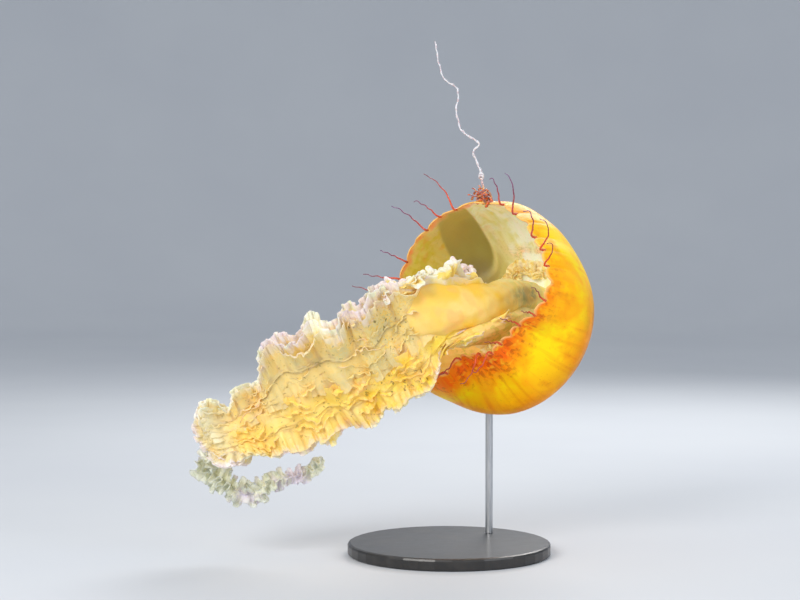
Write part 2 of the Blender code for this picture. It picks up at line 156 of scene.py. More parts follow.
# %% Make a piece from points and faces
def put_in_scene(name, data):
    """A new object that shows this mesh, lamp or camera."""
    made = bpy.data.objects.new(name, data)
    bpy.context.scene.collection.objects.link(made)
    return made


def make_piece(name, points, faces, marks, patch=None):
    """A mesh object that rides on the model, with numbers on its points for the finish."""
    mesh = bpy.data.meshes.new(name)
    mesh.from_pydata(points, [], faces)
    for mark, values in marks.items():
        layer = mesh.attributes.new(mark, "FLOAT", "POINT")
        layer.data.foreach_set("value", np.asarray(values, np.float32).ravel())
    if patch is not None:
        corner_points = np.empty(len(mesh.loops), np.int32)
        mesh.loops.foreach_get("vertex_index", corner_points)
        sheet_map = mesh.uv_layers.new(name="OFBake")
        sheet_map.data.foreach_set("uv", np.asarray(patch, np.float32)[corner_points].ravel())
    mesh.shade_smooth()
    made = put_in_scene(name, mesh)
    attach(made, "root")
    print(f"{name}: {len(points)} points, {len(faces)} faces")
    return made


print("pieces ride on the body root")


# %% Sheets
def sheet_faces(rows, columns, first=0, flipped=False):
    """Square faces of a grid whose points are numbered row by row."""
    row, column = np.meshgrid(np.arange(rows - 1), np.arange(columns - 1), indexing="ij")
    corner = first + row * columns + column
    faces = np.stack([corner, corner + 1, corner + columns + 1, corner + columns], -1)
    faces = faces.reshape(-1, 4)
    return faces[:, ::-1] if flipped else faces


def thickened(middle, thickness):
    """Points and faces of a closed skin round a grid of points (rows, columns, 3)."""
    rows, columns = middle.shape[:2]
    normal = unit(np.cross(np.gradient(middle, axis=1), np.gradient(middle, axis=0)) + 1e-12)
    front = (middle + normal * thickness[..., None] / 2).reshape(-1, 3)
    back = (middle - normal * thickness[..., None] / 2).reshape(-1, 3)
    count = rows * columns
    border = np.concatenate([
        np.arange(columns),
        np.arange(1, rows) * columns + columns - 1,
        np.arange(columns - 2, -1, -1) + (rows - 1) * columns,
        np.arange(rows - 2, 0, -1) * columns,
    ])
    following = np.roll(border, -1)
    rim = np.stack([border, border + count, following + count, following], -1)
    faces = np.vstack([
        sheet_faces(rows, columns, 0, True), sheet_faces(rows, columns, count), rim
    ])
    return np.vstack([front, back]), faces


print("a sheet of 3 by 4 points has", len(sheet_faces(3, 4)), "faces on each side")


# %% Tubes
def tube_points(path, radii, sides):
    """Rings of points round a path, as an array (stations, sides, 3)."""
    _, across, side = frames_along(path, np.array([0.31, 0.52, 0.79]))
    turn = math.tau * np.arange(sides) / sides
    ring = np.cos(turn)[None, :, None] * across[:, None] + np.sin(turn)[None, :, None] * side[:, None]
    return path[:, None] + radii[:, None, None] * ring


def ring_faces(rings, sides, first=0):
    """Faces between rings of points that are numbered ring by ring."""
    ring, side = np.meshgrid(np.arange(rings - 1), np.arange(sides), indexing="ij")
    here, there = first + ring * sides + side, first + ring * sides + (side + 1) % sides
    return np.stack([here, there, there + sides, here + sides], -1).reshape(-1, 4).tolist()


def join_tubes(name, tubes):
    """One piece from tubes with closed ends, each given as its rings and its marks."""
    points, faces, marks, count = [], [], {}, 0
    for rings, own_marks in tubes:
        points.append(rings.reshape(-1, 3))
        faces += ring_faces(*rings.shape[:2], count)
        first, sides = count, rings.shape[1]
        count += len(points[-1])
        faces += [list(range(first + sides - 1, first - 1, -1)), list(range(count - sides, count))]
        for mark, values in own_marks.items():
            marks.setdefault(mark, []).append(np.broadcast_to(values, rings.shape[:2]).ravel())
    marks = {mark: np.concatenate(values) for mark, values in marks.items()}
    return make_piece(name, np.vstack(points), faces, marks)


print("a tube with 3 rings of 8 points has", len(ring_faces(3, 8)), "faces round it")


# %% [markdown]
# ## Small tools for finishes
# A finish is a tree of shader nodes. Written as sums and products it reads like the
# recipe that it is, so one small class wraps a socket and turns each operator into a
# Math node. Every other node comes from one method. Colours never go through a Math
# node, because that would turn them grey: they go through Mix.

# %% Shader maths as Python expressions
class Wire:
    """An output socket that takes part in sums."""

    def __init__(self, finish, socket):
        self.finish, self.socket = finish, socket

    def math(self, operation, first, second=0.0):
        """A Math node of this operation."""
        return self.finish.node(
            "ShaderNodeMath", {"operation": operation}, {0: first, 1: second}
        )

    def __add__(self, other):
        return self.math("ADD", self, other)

    __radd__ = __add__

    def __sub__(self, other):
        return self.math("SUBTRACT", self, other)

    def __rsub__(self, other):
        return self.math("SUBTRACT", other, self)

    def __mul__(self, other):
        return self.math("MULTIPLY", self, other)

    __rmul__ = __mul__

    def held(self):
        """The value kept between 0 and 1."""
        return self.math("MINIMUM", self.math("MAXIMUM", self, 0.0), 1.0)

    def ramp(self, low, high):
        """0 below low, 1 above high, straight between them."""
        return ((self - low) * (1 / (high - low))).held()

    def near(self, middle, width):
        """1 at the middle, falling straight to 0 at this width to either side."""
        return (1 - self.math("ABSOLUTE", self - middle) * (1 / width)).held()


print("sums of wires: + - * held ramp near")


# %% Finishes
def paint(colour):
    """A colour as mixed for a screen, from 0 to 255, in the linear values of a shader."""
    if isinstance(colour, Wire):
        return colour
    parts = (np.array(colour) / 255 + 0.055) / 1.055
    return tuple(float(part) for part in parts**2.4)


class Finish:
    """A material that is being made."""

    def __init__(self, name):
        self.material = bpy.data.materials.new(name)
        self.material.use_nodes = True
        self.tree = self.material.node_tree
        self.shader = self.tree.nodes["Principled BSDF"]

    def node(self, kind, settings=None, sockets=None, output=0):
        """A node of a kind: its settings first, then the values or wires of its sockets."""
        made = self.tree.nodes.new(kind)
        for name, value in (settings or {}).items():
            if name == "stops":
                stops = made.color_ramp.elements
                while len(stops) < len(value):
                    stops.new(0.5)
                for stop, (place, colour) in zip(stops, value):
                    stop.position, stop.color = place, (*colour, 1)
            else:
                setattr(made, name, value)
        for name, value in (sockets or {}).items():
            self.put(made.inputs[name], value)
        return Wire(self, made.outputs[output])

    def put(self, socket, value):
        """Join a wire to a socket, or set the socket to a number, vector or colour."""
        if isinstance(value, Wire):
            self.tree.links.new(value.socket, socket)
        elif hasattr(socket.default_value, "__len__") and len(value) == 3:
            size = len(socket.default_value)
            socket.default_value = (*value, 1)[:size]
        else:
            socket.default_value = value

    def mark(self, name):
        """A number that the piece carries on its points."""
        return self.node("ShaderNodeAttribute", {"attribute_name": name}, output=2)

    def place(self):
        """Where a point is on the model, in metres."""
        return self.node("ShaderNodeNewGeometry")

    def cloud(self, size, detail=2.0, squeeze=(1, 1, 1)):
        """Soft blotches about this many metres across, between 0 and 1."""
        where = self.node(
            "ShaderNodeVectorMath", {"operation": "MULTIPLY"}, {0: self.place(), 1: squeeze}
        )
        return self.node(
            "ShaderNodeTexNoise", None, {"Vector": where, "Scale": 1 / size, "Detail": detail}
        )

    def mix(self, share, low, high):
        """From the low colour to the high one."""
        return self.node(
            "ShaderNodeMix", {"data_type": "RGBA"}, {0: share, 6: low, 7: high}, output=2
        )

    def layers(self, colour, *laid):
        """A first colour with others laid over it in turn, each given with its share.

        A colour is another wire, or red, green and blue as mixed for a screen, to 255."""
        for share, tone in laid:
            colour = self.mix(share, paint(colour), paint(tone))
        return colour

    def bump(self, height, distance, strength):
        """A height, between 0 and 1, as relief of this depth in metres."""
        return self.node(
            "ShaderNodeBump", None,
            {"Height": height, "Distance": distance, "Strength": strength},
        )

    def set(self, **sockets):
        """Set the shader's sockets, with underscores for the spaces in their names."""
        for name, value in sockets.items():
            self.put(self.shader.inputs[name.replace("_", " ")], value)
        return self.material

    def set_flesh(self, colour, roughness, sinking, coat, relief, **others):
        """Set the sockets that moist flesh needs.

        sinking says how much light sinks in, how far red, green and blue get, and their
        scale in metres. coat is the weight and roughness of the wet gloss, and relief is a
        height, its depth in metres and its strength."""
        weight, reach, scale = sinking
        return self.set(
            Base_Color=colour, Roughness=roughness.held(), Subsurface_Weight=weight,
            Subsurface_Radius=reach, Subsurface_Scale=scale, Coat_Weight=coat[0],
            Coat_Roughness=coat[1], Normal=self.bump(*relief), **others,
        )


print("screen grey 128 is", round(paint((128, 128, 128))[0], 3), "in linear values")


# %% [markdown]
# ## The bell's measures
# The bell is a deep bowl whose wall comes in again past its widest ring. Its middle,
# the way its mouth faces and the curve of its wall are the same here as in the solids.
# Two numbers name any place on it: the share of the way from the apex to the rim, and
# the angle round the axis. On the near, lower side the rim is tucked in, as it is in
# the middle of a swimming stroke.

# %% Where a point of the bell lies
BELL_CENTRE = np.array([0.055, 0.033, 0.289])
BELL_FACING = unit([-0.600, -0.755, 0.266])
RIGHT = unit(np.array([1.0, 0, 0]) - BELL_FACING[0] * BELL_FACING)
UP = np.cross(BELL_FACING, RIGHT)
BELL_RADIUS = 0.125
DOME_DEPTH = 0.104
SHOULDER = 0.85
CURL_ANGLE = math.radians(21.0)
APEX_THICKNESS = 0.016
RIM_THICKNESS = 0.0032
LAPPETS = 32
LAPPET_REACH = 0.0055


def girth(angle):
    """How far the bell is from round at this angle, as a factor on its radius."""
    factor = 1 - 0.034 * np.cos(2 * angle)
    for lean, middle, width in ((0.045, 135, 32), (0.030, 232, 30), (-0.055, 32, 30)):
        factor = factor + lean * bump_at(turned(angle, middle), 0, math.radians(width))
    return factor


def tuck(angle):
    """The share of its radius by which the rim is tucked in at this angle."""
    broad = 0.34 * np.exp(-((turned(angle, 292) / math.radians(50)) ** 4))
    return broad + 0.12 * np.exp(-((turned(angle, 262) / math.radians(20)) ** 2))


def wall_curve(share):
    """Radius and distance along the axis of the bell's outside."""
    turn = -math.pi / 2 + share * (math.pi / 2 + CURL_ANGLE)
    back = turn < 0
    radius = BELL_RADIUS * np.where(back, np.maximum(np.cos(turn), 0) ** SHOULDER, np.cos(turn))
    along = np.where(back, DOME_DEPTH, BELL_RADIUS) * np.sin(turn)
    return radius, along


STEPS = np.array(wall_curve(np.linspace(0, 1, 201)))
ARC_LENGTH = float(np.linalg.norm(np.diff(STEPS, axis=1), axis=0).sum())


def bell_place(share, angle, depth=0.0):
    """A point of the bell this far under its outer surface."""
    held = np.minimum(share, 1.0)
    radius, along = wall_curve(held)
    r0, t0 = wall_curve(np.maximum(held - 0.002, 0))
    r1, t1 = wall_curve(np.minimum(held + 0.002, 1))
    size = np.hypot(r1 - r0, t1 - t0) + 1e-12
    end_r, end_t = (r1 - r0) / size, (t1 - t0) / size
    past = (share - held) * ARC_LENGTH
    radius = np.maximum(radius + end_r * past - end_t * depth, 0)
    along = along + end_t * past + end_r * depth
    fold = tuck(angle) * blend(0.60, 1.0, share)
    ribs = 0.010 * blend(0.55, 1.0, held) * np.cos(LAPPETS / 2 * angle)
    radius = radius * (1 + blend(0.15, 0.7, held) * (girth(angle) - 1) + ribs - fold)
    along = along + 0.16 * BELL_RADIUS * fold
    outwards = np.cos(angle)[..., None] * RIGHT + np.sin(angle)[..., None] * UP
    return BELL_CENTRE + radius[..., None] * outwards + along[..., None] * BELL_FACING


print("wall from apex to rim:", round(ARC_LENGTH, 4), "m")


# %% [markdown]
# ## The bell's skin
# On the animal the outside is smooth, with shallow furrows that lead to the notches of
# the rim. The rim is cut into lappets, small rounded flaps. Inside, the swimming
# muscles make pale folds that fan out towards the rim, and a few deeper creases where
# the wall buckles. High up lies a smooth hollow, egg-shaped from the front, and under it
# a dim place behind the stalk. One closed grid goes from the apex over the rim and back
# up the inside, so that no seam shows. The furrows and folds are real displacements,
# because a bump in the finish would leave the edge of the bell straight.

# %% The rim's flaps
def lappet_edge(angle):
    """How far the rim stands past its notches at this angle, and how near a notch it is."""
    wave = np.abs(np.sin(LAPPETS / 2 * angle))
    flap = LAPPET_REACH * blend(0.12, 0.95, wave)
    return flap, np.exp(-((wave / 0.30) ** 2))


print("flap in metres:", lappet_edge(np.array([0.5 * math.pi / LAPPETS]))[0].round(4))


# %% The hollow and the dim place inside
EGG_CENTRE, EGG_LONG, EGG_WIDE = (0.0225, 0.367), 0.049, 0.0262
EGG_LEAN = math.radians(-59)
DIM_CENTRE, DIM_WIDE, DIM_HIGH = (0.041, 0.326), 0.021, 0.019


def egg_at(share, angle):
    """How far out of the hollow's middle a place of the lining lies, 1 at its edge, and
    how far to its right. The hollow is egg-shaped, seen straight from the front."""
    spot = bell_place(share, angle, 0.006)
    x, z = spot[..., 0] - EGG_CENTRE[0], spot[..., 2] - EGG_CENTRE[1]
    down = x * math.cos(EGG_LEAN) + z * math.sin(EGG_LEAN)
    right = -x * math.sin(EGG_LEAN) + z * math.cos(EGG_LEAN)
    wide = EGG_WIDE * (1 + 0.10 * down / EGG_LONG)
    out = (np.abs(down / EGG_LONG) ** 2.5 + np.abs(right / wide) ** 2.5) ** 0.4
    return out, right / wide


def hollow_at(share, angle):
    """1 in the smooth hollow high up inside the bell, which the lining paints dark as shade, 0 outside
    it.
    """
    out, right = egg_at(share, angle)
    far_wall = blend(0.22, 0.34, share) * blend(0, 0.06, bell_place(share, angle)[..., 1])
    return (1 - blend(0.90 - 0.06 * (right < 0), 1.03, out)) * far_wall


def dim_at(share, angle):
    """1 where the lining gets painted shade, between the hollow and the stalk, 0 away from there."""
    spot = bell_place(share, angle, 0.006)
    out = ((spot[..., 0] - DIM_CENTRE[0]) / DIM_WIDE) ** 2
    out = out + ((spot[..., 2] - DIM_CENTRE[1]) / DIM_HIGH) ** 2
    return np.exp(-(out**1.5)) * blend(0, 0.06, spot[..., 1])


print("hollow at its middle:", hollow_at(np.array([0.6]), np.array([2.1])).round(2))


# %% Folds and thickness of the wall
CREASES = [  # (direction in degrees, sweep, width in degrees, height in metres)
    (94, -0.60, 3.0, 0.0030), (84, -0.45, 3.0, 0.0026),
    (72, -0.35, 3.0, 0.0024), (12, -0.25, 4.5, 0.0025),
]


def inner_relief(share, angle):
    """Folds of the inside, as metres towards the bell's hollow."""
    reach = blend(0.30, 0.62, share) * (1 - blend(0.95, 1.0, share))
    out, right = egg_at(share, angle)
    hollow = hollow_at(share, angle)
    uneven = (0.55 + 0.45 * wander(3 * angle, 2)) * (1 - 0.85 * hollow)
    fans = 0.0011 * np.abs(np.sin(24 * angle + 1.1 * wander(2 * angle, 5) + 0.6 * share)) ** 0.7
    pleats = 0.0006 * np.sin(76 * angle + 3 * wander(4 * angle, 7))
    rings = 0.00022 * np.sin(200 * share + 2.5 * wander(5 * angle, 3))
    lip = 0.0036 * np.exp(-(((out - 1.10) / 0.10) ** 2)) * blend(-0.35, 0.25, right)
    dent = -0.0026 * hollow * np.clip(1.05 - out**2, 0, 1)
    creases = 0.0
    for middle, sweep, width, height in CREASES:
        line = turned(angle, middle) - sweep * (share - 0.6)
        creases = creases + height * bump_at(line, 0, math.radians(width))
    creases = creases * (1 - hollow) * blend(0.32, 0.55, share)
    edge = 1 - blend(0.90, 0.97, share)
    return reach * (uneven * (fans + pleats) + rings + creases) + (lip + dent) * edge


def wall_thickness(share):
    """Thick jelly at the apex, a thin sheet at the rim."""
    full = RIM_THICKNESS + (APEX_THICKNESS - RIM_THICKNESS) * (1 - share) ** 1.15
    return full * (1 - 0.42 * blend(0.90, 1.0, share))


print("wall in metres, apex and rim:", wall_thickness(0.0).round(4), wall_thickness(1.0).round(4))


# %% Build the bell's skin
BELL_COLUMNS = LAPPETS * 16
OUTER_ROWS, INNER_ROWS, EDGE_ROWS = 88, 70, 3
ROW_CROWDING = 0.92  # below 1, rows lie closer together towards the rim


def build_bell_skin():
    angle = math.tau * np.arange(BELL_COLUMNS) / BELL_COLUMNS
    flap, notch = lappet_edge(angle)
    rings, marks = [], {}

    def add_ring(share, depth, inside, relief=0.0):
        reach = share + blend(0.90, 1.0, share) * flap / ARC_LENGTH
        rings.append(bell_place(reach, angle, depth))
        own_marks = dict(
            share=min(share, 1.0), inside=inside, notch=notch, rightness=np.cos(angle),
            upness=np.sin(angle), relief=relief * 300, hollow=hollow_at(share, angle),
            dim=dim_at(share, angle),
        )
        for mark, values in own_marks.items():
            marks.setdefault(mark, []).append(np.broadcast_to(values, BELL_COLUMNS))

    for row in range(1, OUTER_ROWS + 1):
        share = (row / OUTER_ROWS) ** ROW_CROWDING
        furrow = 0.0011 * blend(0.80, 0.97, share) * notch
        cupping = 0.0005 * blend(0.93, 1.0, share) * (1 - notch)
        add_ring(share, furrow + cupping, 0.0)
    edge = wall_thickness(1.0)
    for row in range(1, EDGE_ROWS + 1):
        half = math.pi * row / (EDGE_ROWS + 1)
        past = 1 + 0.5 * edge * math.sin(half) / ARC_LENGTH
        add_ring(past, edge * (1 - math.cos(half)) / 2 + 0.0008, 0.5)
    for row in range(INNER_ROWS, 0, -1):
        share = (row / INNER_ROWS) ** ROW_CROWDING
        relief = inner_relief(share, angle)
        depth = wall_thickness(share) - 0.0006 * blend(0.93, 1.0, share)
        add_ring(share, depth + relief, 1.0, relief)
    poles = [
        bell_place(np.zeros(1), np.zeros(1), depth) for depth in (0.0, wall_thickness(0.0))
    ]
    points = np.concatenate([*rings, *poles])
    outer_pole, inner_pole = len(points) - 2, len(points) - 1
    innermost = outer_pole - BELL_COLUMNS
    faces = ring_faces(len(rings), BELL_COLUMNS)
    around = [(i, (i + 1) % BELL_COLUMNS) for i in range(BELL_COLUMNS)]
    faces += [[outer_pole, b, a] for a, b in around]
    faces += [[inner_pole, innermost + a, innermost + b] for a, b in around]
    marks = {
        mark: np.append(np.concatenate(values), (0, 1 if mark == "inside" else 0))
        for mark, values in marks.items()
    }
    skin = make_piece("bell_skin", points, faces, marks)
    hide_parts(*(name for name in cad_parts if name.startswith("bell_")))
    return skin


bell_skin = build_bell_skin()


# %% [markdown]
# ## The route of the stalk and arms
# The stalk hangs from the apex, leaves the bell's mouth and splits into four arms. In
# this pose they trail together, bent over the rim by the stream. One shared route with
# two directions across it keeps the four arms side by side: wide runs towards the
# bundle's upper side and deep away from its front. The bundle's half widths are named
# at a few stations, and smooth steps fill in between.

# %% The bundle's route, directions and widths
STALK_END, ARM_END = 0.120, 0.505
APEX_INSIDE = BELL_CENTRE - BELL_FACING * (DOME_DEPTH - APEX_THICKNESS)
BUNDLE_ROUTE = [
    APEX_INSIDE, (0.073, 0.044, 0.292), (0.040, -0.007, 0.286), (0.000, -0.044, 0.270),
    (-0.051, -0.058, 0.245), (-0.112, -0.054, 0.219), (-0.178, -0.044, 0.187),
    (-0.243, -0.036, 0.154), (-0.283, -0.029, 0.129), (-0.303, -0.025, 0.116),
]
BUNDLE_TWIST = math.radians(20.0)
BUNDLE_WIDTHS = np.array([  # (distance, half width upwards, half width downwards)
    (0.120, 0.028, 0.024), (0.165, 0.052, 0.022), (0.200, 0.066, 0.024),
    (0.238, 0.082, 0.050), (0.256, 0.087, 0.056), (0.278, 0.075, 0.054),
    (0.290, 0.077, 0.057), (0.306, 0.068, 0.061), (0.330, 0.082, 0.064),
    (0.351, 0.074, 0.057), (0.376, 0.081, 0.060), (0.395, 0.074, 0.062),
    (0.419, 0.036, 0.053), (0.434, 0.044, 0.053), (0.462, 0.028, 0.039),
    (0.490, 0.037, 0.031), (0.508, 0.028, 0.017),
])
ROUTE_POINTS = curve_through(BUNDLE_ROUTE, step=0.002)
ROUTE_STEP = np.linalg.norm(np.diff(ROUTE_POINTS, axis=0), axis=1).sum() / (len(ROUTE_POINTS) - 1)
ROUTE_AHEAD = unit(np.gradient(ROUTE_POINTS, axis=0))
ROUTE_WIDE = np.zeros_like(ROUTE_POINTS)
carried = np.array([-0.5, 0.0, 0.87])
for station in range(len(ROUTE_POINTS) - 1, -1, -1):
    carried = unit(carried - carried @ ROUTE_AHEAD[station] * ROUTE_AHEAD[station])
    ROUTE_WIDE[station] = carried


def bundle_at(distance):
    """Place, ahead, wide and deep at distances along the bundle."""
    spot = np.clip(distance / ROUTE_STEP, 0, len(ROUTE_POINTS) - 1)
    stations = np.arange(len(ROUTE_POINTS))
    place, ahead, wide = (
        np.stack([np.interp(spot, stations, table[:, k]) for k in range(3)], -1)
        for table in (ROUTE_POINTS, ROUTE_AHEAD, ROUTE_WIDE)
    )
    ahead = unit(ahead)
    wide = unit(wide - (wide * ahead).sum(-1, keepdims=True) * ahead)
    twist = BUNDLE_TWIST * np.sin(math.tau * distance / 0.42) * np.minimum(1, distance / STALK_END)
    twist = twist[..., None]
    wide = np.cos(twist) * wide + np.sin(twist) * np.cross(ahead, wide)
    return place, ahead, wide, np.cross(ahead, wide)


def bundle_reach(distance, upper):
    """Half width of the bundle towards its upper or lower side."""
    return smooth_steps(BUNDLE_WIDTHS[:, 0], BUNDLE_WIDTHS[:, 1 if upper else 2], distance)


print("bundle length:", round(ROUTE_STEP * (len(ROUTE_POINTS) - 1), 3), "m")


# %% [markdown]
# ## The mouth stalk
# The stalk is made of four smooth pillars, one for each arm. They spring from the inside
# of the apex, lean apart to leave four openings painted dark as shade, close up to a
# column, and part again where the arms begin. The pillar of the upper front arm stays
# smooth far out, and spreads into a broad, pale mass. Each pillar is an oval tube beside
# the shared route.
# A short table names its place and size at a few stations. The tubes overlap in the
# middle, so they read as one body with grooves. A shallow pit beside the stalk's foot
# dents whatever lies there.

# %% One pillar of the stalk
FRONT_PILLARS = {  # distance: (towards the upper side, towards the back, half width, half depth)
    "upper": {
        0.002: (0.018, -0.017, 0.021, 0.021), 0.034: (0.017, -0.014, 0.020, 0.016),
        0.070: (0.006, -0.011, 0.021, 0.017), 0.115: (0.003, -0.011, 0.023, 0.019),
        0.150: (0.009, -0.011, 0.028, 0.020), 0.200: (0.026, -0.014, 0.031, 0.017),
        0.226: (0.033, -0.012, 0.028, 0.013), 0.252: (0.035, -0.004, 0.020, 0.008),
        0.276: (0.034, 0.002, 0.010, 0.004),
    },
    "lower": {
        0.002: (-0.018, -0.017, 0.019, 0.021), 0.034: (-0.018, -0.014, 0.014, 0.014),
        0.070: (-0.023, -0.011, 0.012, 0.013), 0.100: (-0.027, -0.010, 0.011, 0.013),
        0.135: (-0.026, -0.010, 0.010, 0.012), 0.170: (-0.020, -0.010, 0.009, 0.010),
        0.208: (-0.012, -0.010, 0.005, 0.004),
    },
}
PILLAR_SIDES, PILLAR_STEP = 64, 0.0016
BACK_PILLARS_END = 0.21
PIT_MIDDLE, PIT_SIZE, PIT_DEPTH = (0.094, 0.303), 0.0175, 0.009


def pillar(table, back):
    """Points and marks of one pillar; a back one is the mirror image of a front one."""
    at, sizes = np.array(list(table)), np.array(list(table.values()))
    distance = np.arange(at[0], at[-1], PILLAR_STEP)
    upwards, backwards, wide_half, deep_half = smooth_steps(at, sizes.T, distance)
    if back:
        backwards = -backwards
    place, _, wide, deep = bundle_at(distance)
    turn = math.tau * np.arange(PILLAR_SIDES) / PILLAR_SIDES
    s, calm = distance[:, None], blend(0.100, 0.160, distance)[:, None]
    furrows = np.sin(11 * turn[None] + 70 * s + 2 * wander(40 * s, 5))
    ripple = 1 + 0.030 * wander(6 * turn[None] + 50 * s, 3 + back) * (1 - 0.4 * calm)
    ripple = ripple + 0.022 * furrows * (1 - 0.6 * calm)
    ripple = ripple + 0.008 * np.sin(380 * s + 2 * np.sin(3 * turn[None]))
    across = upwards[:, None] + wide_half[:, None] * ripple * np.cos(turn)
    into = backwards[:, None] + deep_half[:, None] * ripple * np.sin(turn)
    points = place[:, None] + across[..., None] * wide[:, None] + into[..., None] * deep[:, None]
    from_pit = np.hypot(points[..., 0] - PIT_MIDDLE[0], points[..., 2] - PIT_MIDDLE[1])
    pit = bump_at(from_pit, 0, PIT_SIZE)
    points[..., 1] += PIT_DEPTH * pit
    # faces near the bundle's axis turn into the grooves and openings between the pillars, and the finish
    # paints shade on them
    near_axis = bump_at(np.hypot(across, into), 0, 0.0125)
    return points, {"along": (distance / STALK_END)[:, None], "core": near_axis, "pit": pit}


print("points of the upper front pillar:", pillar(FRONT_PILLARS["upper"], False)[0].shape)


# %% Build the stalk
def build_stalk():
    tubes = []
    for side, table in FRONT_PILLARS.items():
        short = {at: sizes for at, sizes in table.items() if at < BACK_PILLARS_END}
        for points, marks in (pillar(table, False), pillar(short, True)):
            tubes.append((points, {**marks, "lower": float(side == "lower")}))
    stalk = join_tubes("stalk_skin", tubes)
    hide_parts("mouth_stalk")
    return stalk


stalk_skin = build_stalk()


# %% [markdown]
# ## The frilled arms
# A sea nettle's arm is a ribbon with a firm rib along its middle. The lips beside the
# rib grow far longer at their free edges than at the rib, so they can't lie flat: they
# buckle into waves on waves, like a lettuce leaf. The same is done here. A strip is laid
# from the rib to the free edge, and waves of three lengths push it to and fro, each
# growing towards the edge. Each wave also pushes the strip back where it is steep, so
# that the loops bulge over their necks as real frills do. The longest wave is the one in
# the solids, which keeps the outline of the two the same. Besides the broad strips that
# make the outline, short strips stand up from the arm's face in rows.

# %% The shape of one arm's section
LAYER_DEPTH = 0.0165
RUFFLE, RUFFLE_LENGTH = 0.0100, 0.044
SCALLOP_LENGTH = 0.031
FULL_WIDTH = 0.040  # an arm's reach from which on it is as thick as it gets
ARM_COLUMNS = 800


def arm_frame(upper, front, first=STALK_END - 0.008):
    """What every strip of an arm shares, at stations along the bundle from the first one."""
    distance = np.linspace(first, ARM_END, ARM_COLUMNS)
    place, ahead, wide, deep = bundle_at(distance)
    own = 1.7 * upper + 0.6 * front
    reach = bundle_reach(distance, upper) * (1 if front else 0.93)
    reach = reach * (1 + 0.035 * np.sin(math.tau * distance / SCALLOP_LENGTH + 2.1 * own))
    end = np.clip((distance - ARM_END + 0.016) / 0.018, 0, 0.97)
    reach = reach * np.sqrt(1 - end**2)
    split = 0.006 * np.sin(math.tau * distance / 0.17)
    side = 1 if upper else -1
    narrow = np.minimum(1, reach / FULL_WIDTH)
    middle = (-1 if front else 1) * LAYER_DEPTH * (0.35 + 0.65 * narrow)
    smooth_until = 0.205 if upper and front else STALK_END
    grown = blend(smooth_until - 0.010, smooth_until + 0.045, distance) * (0.30 + 0.70 * narrow)
    return dict(
        distance=distance, place=place, ahead=ahead, wide=wide, deep=deep, own=own,
        narrow=narrow, inner=split + side * 0.0012, outer=side * reach, middle=middle,
        grown=grown, outwards=-1 if front else 1,
    )


print("first arm reaches", round(float(arm_frame(1, 1)["outer"].max()), 3), "m upwards")


# %% How an edge is torn and how waves push a strip
RAGGED = [(0.008, 0.050, 0), (0.003, 0.030, 3), (0.0015, 0.018, 4)]  # (length, share, seed)


def raggedness(s, seed):
    """How far an edge reaches at each station, as a share of its full reach."""
    reach = 1
    for length, amount, shift in RAGGED:
        reach = reach + amount * wander(s / length, seed + shift)
    return reach


def push_of_waves(s, t, waves, grown, size, seed):
    """How far the waves push each point off the strip, and back along it.

    s is the distance along the strip, and t goes from 0 at its root to 1 at its edge."""
    height, along = 0 * t + 0 * s, 0 * t + 0 * s
    for order, (length, amount, late) in enumerate(waves):
        amount = amount * grown * np.minimum(1, size / 0.012) * t**late
        amount = amount * (1 + 0.40 * wander(s / (2.1 * length), seed + 5 * order))
        angle = math.tau * s / length + 1.5 * wander(s / (2.6 * length), seed + 9 + order)
        angle = angle + (1.2 + order + 2.6 * wander(s / 0.024, seed + 12 + order)) * t + seed
        height = height + amount * np.sin(angle)
        along = along - 0.36 * amount * np.sin(2 * angle)
    return height, along


print("edge at the start of an arm:", round(float(raggedness(np.array([0.0]), 0)[0]), 3))


# %% The shape of one strip
EDGE_THICKNESS, ROOT_THICKENING, BEAD_THICKENING = 0.0005, 0.0014, 0.0008
BEAD_MIDDLE, BEAD_HALF = 0.955, 0.047  # a thicker seam just inside the free edge


